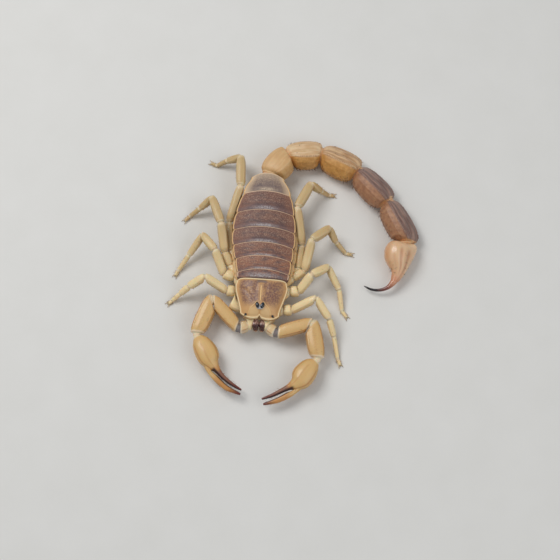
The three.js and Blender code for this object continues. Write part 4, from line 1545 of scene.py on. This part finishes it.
# %% The arms and hands
def hand(side_name, soft, wrist):
    """The palm, the movable finger, their teeth and the joints of the whole arm."""
    name = f"pedipalp_{side_name}"
    palm = palm_limb(name, wrist)
    finger, towards = finger_limb(name, palm)

    def palm_marks(share, outward):
        return {"finger": between(share, FINGER_ROOT, FINGER_BEND),
                "facing": outward.dot(towards)}

    def finger_marks(share, outward):
        return {"finger": 0.5 * between(share, 0.3, 0.6),
                "facing": FINGER_FACING - outward.dot(towards)}

    shell = Shell(*ARM_MARKS)
    horn_tube(shell, palm, -0.04 * MM, palm.length, 72, 130, HAND_STYLE, palm_marks)
    shell.keep(f"arm_{side_name}_hand", hand_horn, "arms", f"{name}_hand")
    shell = Shell(*ARM_MARKS)
    horn_tube(shell, finger, 0, finger.length, 48, 110, FINGER_STYLE, finger_marks)
    shell.keep(f"arm_{side_name}_finger", hand_horn, "arms", f"{name}_finger")
    joint_skin(soft, wrist, wrist.length, palm, 0, 0.4, 0.84)
    soft.keep(f"arm_{side_name}_joints", joint_soft, "arms")
    row = Shell()
    teeth(row, palm, palm.length * 0.52, palm.length * 0.985, towards)
    teeth(row, finger, finger.length * 0.42, finger.length * 0.97, -towards)
    row.keep(f"arm_{side_name}_teeth", tooth_horn, "arms")
    limbs[f"arm_{side_name}_hand"], limbs[f"arm_{side_name}_finger"] = palm, finger


for side_name in SIDES:
    soft, wrist = arm(side_name)
    hand(side_name, soft, wrist)
print("hand length in mm:", round(limbs["arm_left_hand"].length / MM, 2))

# %% [markdown]
# ## Tail
# Five thick rings carry the bulb and its sting. The tail lies on its side, so its upper face,
# flat and ridged between two strong keels, leans outwards. The inner faces are smoother and
# more orange. Each keel is a row of blunt teeth that grow towards the end of its ring. A tube
# with a bump map would keep a round outline, so the keels and grains are real relief.

# %% Finishes of the tail
def tail_finish(name, top, top_dark, inner, keel_colour, glow):
    """Horn with a streaked upper face between dark grooves and a plainer inner face."""
    finish = Finish(name)
    along, up, side = finish.mark("along"), finish.mark("up"), finish.mark("inner")
    keel, groove = finish.mark("keel"), finish.mark("groove")
    streaks = finish.cloud(0.16, detail=5, at=along_limb(finish, 0.45))
    mottle = finish.cloud(0.8, detail=5)
    upper = finish.mix(finish.ease(streaks, 0.34, 0.66), top_dark, top)
    lower = finish.mix(finish.ease(mottle, 0.3, 0.7), inner, glow)
    face = finish.ease(up, 0.6, 0.74)
    outer = finish.ease(side * -1, 0.3, 0.8) * (1 - face)
    dotted = 0.5 + finish.ease(finish.cloud(0.3, detail=2), 0.4, 0.6) * 0.5
    ends = finish.ease(along, 0.965, 0.995) + (1 - finish.ease(along, 0.005, 0.03))
    colour = finish.layered(lower, [
        (face, upper),
        (finish.ease(groove, 0.35, 0.95) * 0.6, top_dark),
        (outer * 0.7, top_dark),
        (finish.ease(keel, 0.4, 0.95) * dotted * 0.8, keel_colour),
        (finish.mark("grain") * 0.35, keel_colour),
        (ends * 0.7, (224, 168, 112))])
    bumps = finish.pitted(0.13, 0.014, 0.06, 0.01, 5)
    fixed = {"Coat Weight": 0.1, "Coat Roughness": 0.3, "Subsurface Weight": 0.06,
             "Subsurface Scale": 0.4 * MM}
    return finish.shade(colour, 0.42 + streaks * 0.14, bumps, fixed)


# %% Four looks of the rings, from the trunk to the bulb
smooth_tail = tail_finish("tail_horn_smooth", (232, 200, 158), (214, 174, 128),
                          (198, 142, 74), (140, 88, 52), (218, 164, 94))
pale_tail = tail_finish("tail_horn_pale", (226, 190, 146), (184, 138, 96),
                        (192, 136, 68), (146, 94, 58), (212, 158, 88))
plain_tail = tail_finish("tail_horn_plain", (222, 182, 130), (212, 168, 116),
                         (208, 160, 98), (224, 186, 134), (222, 180, 124))
dusky_tail = tail_finish("tail_horn_dusky", (164, 132, 118), (118, 90, 82),
                         (156, 108, 78), (120, 82, 68), (182, 134, 98))

# %% Keels and grooves of the rings
TAIL_KEELS = (  # degrees round the ring, height, and how toothed it is
    (48, 0.34, 1), (132, 0.32, 1), (14, 0.14, 1), (162, 0.18, 1), (-20, 0.12, 0.8),
    (194, 0.12, 0.7), (-50, 0.14, 0.8), (230, 0.12, 0.8), (-80, 0.1, 0.6), (260, 0.1, 0.6),
    (72, 0.12, 0.3), (98, 0.14, 0.3))
GROOVES = ((61, 0.1), (85, 0.13), (114, 0.14))  # degrees round the ring, and depth
KEEL_WIDTH, STAIN_WIDTH, GROOVE_WIDTH = 0.07, 0.11, 0.075
TOOTH_STEP = 0.42
STAIN_HEIGHT, STAIN_DEPTH = 0.3, 0.13
RING_ENDS, RING_BELLY = 0.87, 0.16
RING_REACH, FIRST_REACH = 0.16, 0.5


def tail_relief(turn, share, saw):
    """Height of the keels, how far they are stained, and depth of the grooves at a point."""
    stain = shape = 0.0
    for degrees, tall, toothed in TAIL_KEELS:
        away = turn_gap(turn, math.radians(degrees))
        near = hump(away, KEEL_WIDTH)
        stain = max(stain, hump(away, STAIN_WIDTH) * min(tall / STAIN_HEIGHT, 1))
        if near > 0.01:
            growth = 0.55 + 0.75 * share ** 2
            bite = 1 - 0.5 * toothed * (1 - saw ** 1.6 * 1.1)
            shape = max(shape, near * tall * growth * bite)
    groove = max(hump(turn_gap(turn, math.radians(degrees)), GROOVE_WIDTH) * deep
                 for degrees, deep in GROOVES)
    return shape, stain, groove


# %% The surface of a ring
def tail_surface(limb, number, strength, size):
    """place() of a ring of the tail, for Shell.tube."""
    start = -(FIRST_REACH if number == 1 else RING_REACH) * MM
    end = limb.length + RING_REACH * MM
    length = end - start
    teeth_along = length / MM / TOOTH_STEP

    def place(turn, share):
        share = ease_ends(share)
        distance = start + length * share
        at = limb.section(distance)
        across, high = squared(turn, 0.8)
        high -= 0.1 * max(0, math.sin(turn)) ** 6
        middle = between(share, 0.03, 0.16) * between(1 - share, 0.02, 0.1)
        saw = (share * teeth_along) % 1
        dash = 0.2 + 0.8 * between(saw, 0.3, 0.5)
        shape, stain, groove = tail_relief(turn, share, saw)
        flank = beads(Vector((turn * at.half / MM, distance / MM, number)), 0.3)
        grain = flank * (0.3 + 0.7 * (math.sin(turn) < 0.6)) * middle
        full = closing(distance - start, length, 0.34 * MM, 0.68)
        collar = 0.035 * hump(end - distance - 0.42 * MM, 0.2 * MM)
        grown = size * full * (RING_ENDS + RING_BELLY * math.sin(math.pi * share) + collar)
        point = at.centre + at.side * (across * at.half * grown)
        point += at.rise * (high * at.height * grown)
        outward = (point - at.centre).normalized()
        lift = (shape - groove * 0.6) * middle * strength + 0.035 * grain * strength
        point += outward * lift * MM
        point.z = max(point.z, 0)
        marks = {"along": share, "up": math.sin(turn), "inner": math.cos(turn),
                 "keel": stain * middle * dash, "grain": grain * 0.8,
                 "groove": groove / STAIN_DEPTH * middle}
        return point, marks

    return place


# %% The five rings
TAIL_MARKS = LEG_MARKS + ("grain", "groove")
TAIL_LOOKS = (  # horn, strength of the relief, size, slot, and lean in degrees
    (plain_tail, 0.3, 1.14, "tail", -12), (smooth_tail, 0.7, 1, "tail", -21),
    (pale_tail, 1.0, 1, "tail", -38), (dusky_tail, 1.0, 1, "tail_end", -42),
    (dusky_tail, 1.0, 0.98, "tail_end", -44))
tail_soft = Shell()
tail_joint = joint_finish("tail_joint_skin", (212, 162, 114), (238, 202, 162))
trunk_rear = Ring(at_mm(-0.5, 23.4, 3.7), Vector((0, 1, 0)), 1.9 * MM, 1.6 * MM)
trunk_open = Ring(at_mm(-0.4, 24.3, 3.7), Vector((0.1, 1, 0)).normalized(), 2 * MM, 1.7 * MM)
before = Limb([trunk_rear, trunk_open])
nearest = anchor
for number, (horn, strength, size, slot, lean) in enumerate(TAIL_LOOKS, start=1):
    roll = math.radians(lean)
    rings = read_rings(f"tail_{number}", nearest, roll)
    limb = Limb(rings, roll)
    shell = Shell(*TAIL_MARKS)
    shell.tube(144, 96, tail_surface(limb, number, strength, size))
    shell.keep(f"tail_ring_{number}", horn, slot, f"tail_{number}")
    joint_skin(tail_soft, before, before.length, limb, 0, 0.6, 0.78)
    before, nearest = limb, rings[-1].centre
    limbs[f"tail_{number}"] = limb
print("a ring of the tail has", len(pieces["tail_ring_2"].data.polygons), "faces")

# %% [markdown]
# ## Bulb and sting
# The bulb holds the venom. It is smooth and glossy, drawn out into a slender sting that curves
# back towards the body and turns from orange to black. The two are separate solids but one
# smooth shape, so the sting's tube starts well inside the end of the bulb.

# %% Finishes of the bulb and the sting
def bulb_finish():
    finish = Finish("bulb_horn")
    along, up = finish.mark("along"), finish.mark("up")
    streaks = finish.cloud(0.3, detail=4, at=along_limb(finish, 1.0))
    neck = 1 - finish.ease(along, 0.02, 0.1)
    colour = finish.layered((224, 176, 130), [
        (streaks, (240, 204, 164)),
        (finish.mark("groove") * 0.6, (178, 108, 70)),
        ((1 - finish.ease(up, -0.3, 0.4)) * 0.5, (206, 136, 84)),
        (neck * 0.8, (240, 206, 166)),
        (finish.ease(along, 0.72, 1) * 0.7, (204, 132, 98))])
    bumps = finish.relief(finish.cloud(0.2, detail=5), 0.012)
    fixed = {"Coat Weight": 0.35, "Coat Roughness": 0.2, "Subsurface Weight": 0.12,
             "Subsurface Scale": 0.5 * MM}
    return finish.shade(colour, 0.28 + streaks * 0.1, bumps, fixed)


def sting_finish():
    finish = Finish("sting_horn")
    along = finish.mark("along")
    colour = finish.layered((210, 144, 106), [
        (finish.ease(along, 0.12, 0.42), (132, 70, 58)),
        (finish.ease(along, 0.34, 0.72), (26, 18, 22))])
    gloss = finish.cloud(0.4) * 0.1 + 0.14
    bumps = finish.relief(finish.cloud(0.1), 0.004)
    return finish.shade(colour, gloss, bumps, {"Coat Weight": 0.5})


# %% Measures of the bulb
BULB_GROOVES = ((56, 0.05), (90, 0.055), (22, 0.02), (150, 0.06))
BULB_ROLL = math.radians(-48)
BULB_SIZE = 1.06
BULB_STAIN = 0.055
BULB_SHOULDER = [(0, 1.7), (0.1, 0.95), (0.25, 0.45), (0.45, 0.3), (0.7, 0.1), (1, 0)]
BULB_NECK = 0.85
BULB_BULGE = 0.22
GRAIN_SWELL = 0.03
OUTWARD, INWARD = math.radians(138), math.radians(-42)
bulb = Limb(read_rings("telson", nearest, BULB_ROLL), BULB_ROLL)


# %% The surface of the bulb
def bulb_point(turn, share):
    """A point of the bulb. Its neck leans outwards and its belly bulges inwards."""
    share = ease_ends(share)
    start, end = -0.1 * MM, bulb.length + 0.12 * MM
    distance = start + (end - start) * share
    across, high = squared(turn, 0.94)
    groove = max(hump(turn_gap(turn, math.radians(degrees)), 0.13) * deep
                 for degrees, deep in BULB_GROOVES)
    groove *= between(share, 0.12, 0.3) * between(1 - share, 0.05, 0.3)
    full = closing(distance - start, end - start, 0.3 * MM, 0.6)
    if distance > bulb.length * 0.8:
        full = 1.0
    size = full * (1 - groove)
    if math.sin(turn) < -0.3 and 0.2 < share < 0.75:
        grain = beads(Vector((turn * 2, distance / MM, 0)), 0.4)
        size = full * (1 - groove + GRAIN_SWELL * grain)
    size *= BULB_SIZE + (1 - BULB_SIZE) * between(share, 0.5, 0.9)
    point = bulb.point(distance, across * size, high * size)
    travel = bulb.section(distance).travel
    inward = travel.cross(UP).normalized() * MM
    outer = hump(turn_gap(turn, OUTWARD), 0.8)
    point -= inward * smooth(BULB_SHOULDER, share) * outer
    point -= travel * BULB_NECK * outer * (1 - between(share, 0, 0.16)) * MM
    bulge = BULB_BULGE * hump(share - 0.3, 0.22)
    point += inward * bulge * hump(turn_gap(turn, INWARD), 0.9)
    point.z = max(point.z, 0)
    marks = {"along": share, "up": math.sin(turn), "inner": math.cos(turn),
             "groove": groove / BULB_STAIN}
    return point, marks


# %% Bulb and sting
STING_BACK, STING_SLIM = 0.9, 0.78
shell = Shell("along", "up", "inner", "groove")
shell.tube(112, 110, bulb_point)
shell.keep("tail_bulb", bulb_finish(), "tail", "telson")
joint_skin(tail_soft, before, before.length, bulb, 0, 0.6, 0.66)
tail_soft.keep("tail_joints", tail_joint, "tail")
sting_rings = read_rings("sting", bulb.section(bulb.length).centre)
root = bulb.section(bulb.length - STING_BACK * MM)
thick = bulb.section(bulb.length).half * 0.9
slim = [ring._replace(half=ring.half * STING_SLIM, height=ring.height * STING_SLIM)
        for ring in sting_rings[1:]]
sting = Limb([Ring(root.centre, root.travel, thick, thick), sting_rings[0]] + slim)
shell = Shell("along")
thin_tube(shell, sting, 36, 70, lambda turn, share: {"along": share}, narrow=0.02)
shell.keep("tail_sting", sting_finish(), "sting", "sting")
print("sting length in mm:", round(sting.length / MM, 2))

# %% [markdown]
# ## Bristles
# The animal feels its way with fine stiff hairs, so they stand along the edges of the arms and
# legs, under the feet, on the jaws and along the lower edges of the tail. Each is a thin closed
# cone, bent a little towards the tip of its limb. All the hairs of one limb are one mesh. Each
# also owns a small patch of a map that is laid out round and along the limb.

# %% Measures and finishes of the hairs
HAIR_PATCH = 0.003
HAIR_THICK, TAIL_HAIR_THICK = 0.028, 0.05
ROOT_DEPTH = 0.93


def bristle_finish(name, root, tip, light):
    finish = Finish(name)
    colour = finish.layered(root, [
        (finish.mark("along"), tip),
        (finish.cloud(0.5), light)])
    return finish.shade(colour, 0.4)


bristle = bristle_finish("bristle", (150, 100, 56), (96, 62, 36), (190, 150, 100))
dark_bristle = bristle_finish("dark_bristle", (104, 62, 34), (52, 32, 24), (120, 80, 48))


# %% The hairs of one limb
class Coat:
    """The hairs of one limb, as one mesh with a map of their roots."""

    def __init__(self, name, seed, thick=HAIR_THICK):
        self.name = name
        self.thick = thick * MM
        self.shell = Shell("along")
        self.map = self.shell.mesh.loops.layers.uv.new("OFBake")
        self.chance = random.Random(seed)
        self.count = 0

    def hair(self, root, way, length, around, along, bend):
        """A bent cone at a root. around and along are the place of its patch on the map."""
        mesh = self.shell.mesh
        mesh.faces.ensure_lookup_table()
        faces = len(mesh.faces)
        tip = root + way * length + bend * length * 0.4
        tip.z = max(tip.z, 0.02 * MM)
        middle = root + way * length * 0.55
        middle.z = max(middle.z, 0.03 * MM)
        halves = [self.thick, self.thick * 0.75, self.thick * 0.2]
        limb = limb_through([root, middle, tip], halves)
        thin_tube(self.shell, limb, 3, 4, lambda turn, share: {"along": share}, narrow=0.3)
        mesh.faces.ensure_lookup_table()
        for face in mesh.faces[faces:]:
            for loop in face.loops:
                out = loop.vert.co - root
                share = min(max(out.dot(way) / length, 0), 1)
                aside = min(max(out.dot(bend) / length, -0.5), 0.5)
                loop[self.map].uv = (around + HAIR_PATCH * aside, along + HAIR_PATCH * share)
        self.count += 1

    def row(self, limb, turns, shares, count, length, lay=0.6, layout=(0, 1)):
        """Hairs scattered between two angles and two shares of a limb. layout is the start
        and the height of the limb's part of the map."""
        for _ in range(count):
            turn = math.radians(self.chance.uniform(*turns))
            share = self.chance.uniform(*shares)
            at = limb.section(limb.length * share)
            across, high = squared(turn, 0.85)
            root = at.centre + at.side * (across * at.half * ROOT_DEPTH)
            root += at.rise * (high * at.height * ROOT_DEPTH)
            if root.z < 0.12 * MM:
                continue
            way = (root - at.centre).normalized() + at.travel * lay * self.chance.uniform(0.4, 1)
            size = length * MM * self.chance.uniform(0.6, 1.15)
            place = layout[0] + layout[1] * share
            self.hair(root, way.normalized(), size, turn / math.tau % 1, place, at.travel)

    def keep(self, finish, slot):
        self.shell.keep(self.name, finish, slot)


# %% Hairs of the legs
THIGH_HAIRS = (((-60, 20), 12, 0.42), ((160, 240), 12, 0.42), ((30, 150), 5, 0.35))
LEG_HAIRS = {  # each row: from and to which angle, how many, how long
    "femur": THIGH_HAIRS,
    "patella": THIGH_HAIRS,
    "tibia": (((-80, 30), 14, 0.42), ((150, 260), 14, 0.42), ((40, 140), 5, 0.4)),
    "basitarsus": (((-90, 40), 16, 0.4), ((140, 270), 16, 0.4), ((50, 130), 4, 0.4)),
    "telotarsus": (((-90, 40), 12, 0.34), ((140, 270), 12, 0.34), ((50, 130), 4, 0.3)),
}
hairs = 0
for seed, (name, chain) in enumerate(limb for limb in limbs.items() if limb[0][:4] == "leg_"):
    coat = Coat(f"{name}_bristles", seed)
    for index, part in enumerate(part for part in chain if part.name in LEG_HAIRS):
        last = OPEN_FOOT if part.name == "telotarsus" else 0.96
        for turns, count, length in LEG_HAIRS[part.name]:
            coat.row(part.limb, turns, (0.05, last), count, length, layout=(index / 5, 0.19))
    coat.keep(bristle, "legs")
    hairs += coat.count
print("bristles on the legs:", hairs)

# %% Hairs of the arms and jaws
ARM_HAIRS = {
    "femur": (((20, 60), 14, 0.5), ((120, 160), 14, 0.5), ((-60, 10), 12, 0.45),
              ((170, 240), 12, 0.45)),
    "patella": (((20, 60), 16, 0.5), ((120, 160), 16, 0.5), ((-60, 10), 14, 0.45),
                ((170, 240), 14, 0.45)),
    "hand": (((-60, 40), 26, 0.42), ((140, 240), 26, 0.42), ((50, 130), 8, 0.3)),
    "finger": (((-60, 240), 44, 0.32),),
}
for seed, side_name in enumerate(SIDES, start=20):
    coat = Coat(f"arm_{side_name}_bristles", seed)
    for index, (part, rows) in enumerate(ARM_HAIRS.items()):
        first = 0.45 if part == "finger" else 0.05
        for turns, count, length in rows:
            coat.row(limbs[f"arm_{side_name}_{part}"], turns, (first, 0.96), count, length,
                     layout=(index / 4, 0.24))
    coat.keep(bristle, "arms")
    print("bristles on an arm:", coat.count)

for seed, (side_name, limb) in enumerate(jaw_limbs.items(), start=25):
    coat = Coat(f"jaw_{side_name}_bristles", seed)
    coat.row(limb, (-80, 260), (0.55, 0.85), 26, 0.45, 1.2)
    coat.row(limb, (30, 150), (0.15, 0.6), 6, 0.25, 0.8)
    coat.keep(bristle, "jaws")

# %% Hairs of the tail
EDGE_HAIRS, EDGE_LENGTH = 9, 0.8
TAIL_HAIRS = {1: (6, 0.5), 2: (26, 0.62), 3: (30, 0.7), 4: (26, 0.62), 5: (26, 0.62)}
coat = Coat("tail_bristles", 30, TAIL_HAIR_THICK)
for number, (count, length) in TAIL_HAIRS.items():
    limb, layout = limbs[f"tail_{number}"], ((number - 1) / 6, 0.16)
    coat.row(limb, (-40, -8), (0.08, 0.95), count, length, 0.3, layout)
    for step in range(EDGE_HAIRS):
        share = (step + 0.5) / EDGE_HAIRS
        coat.row(limb, (-46, -38), (share, share + 0.01), 2, EDGE_LENGTH, 0.25, layout)
    coat.row(limb, (-70, 45), (0.08, 0.95), count // 2, length * 0.8, 0.5, layout)
    coat.row(limb, (125, 165), (0.08, 0.95), count // 2, length * 0.8, 0.5, layout)
    coat.row(limb, (48, 132), (0.08, 0.95), 6, length * 0.5, 0.5, layout)
coat.row(bulb, (75, 150), (0.1, 0.85), 34, 0.5, 0.4, (5 / 6, 0.16))
coat.row(bulb, (-80, 30), (0.1, 0.85), 22, 0.5, 0.4, (5 / 6, 0.16))
coat.keep(dark_bristle, "tail")
print("bristles on the tail:", coat.count)
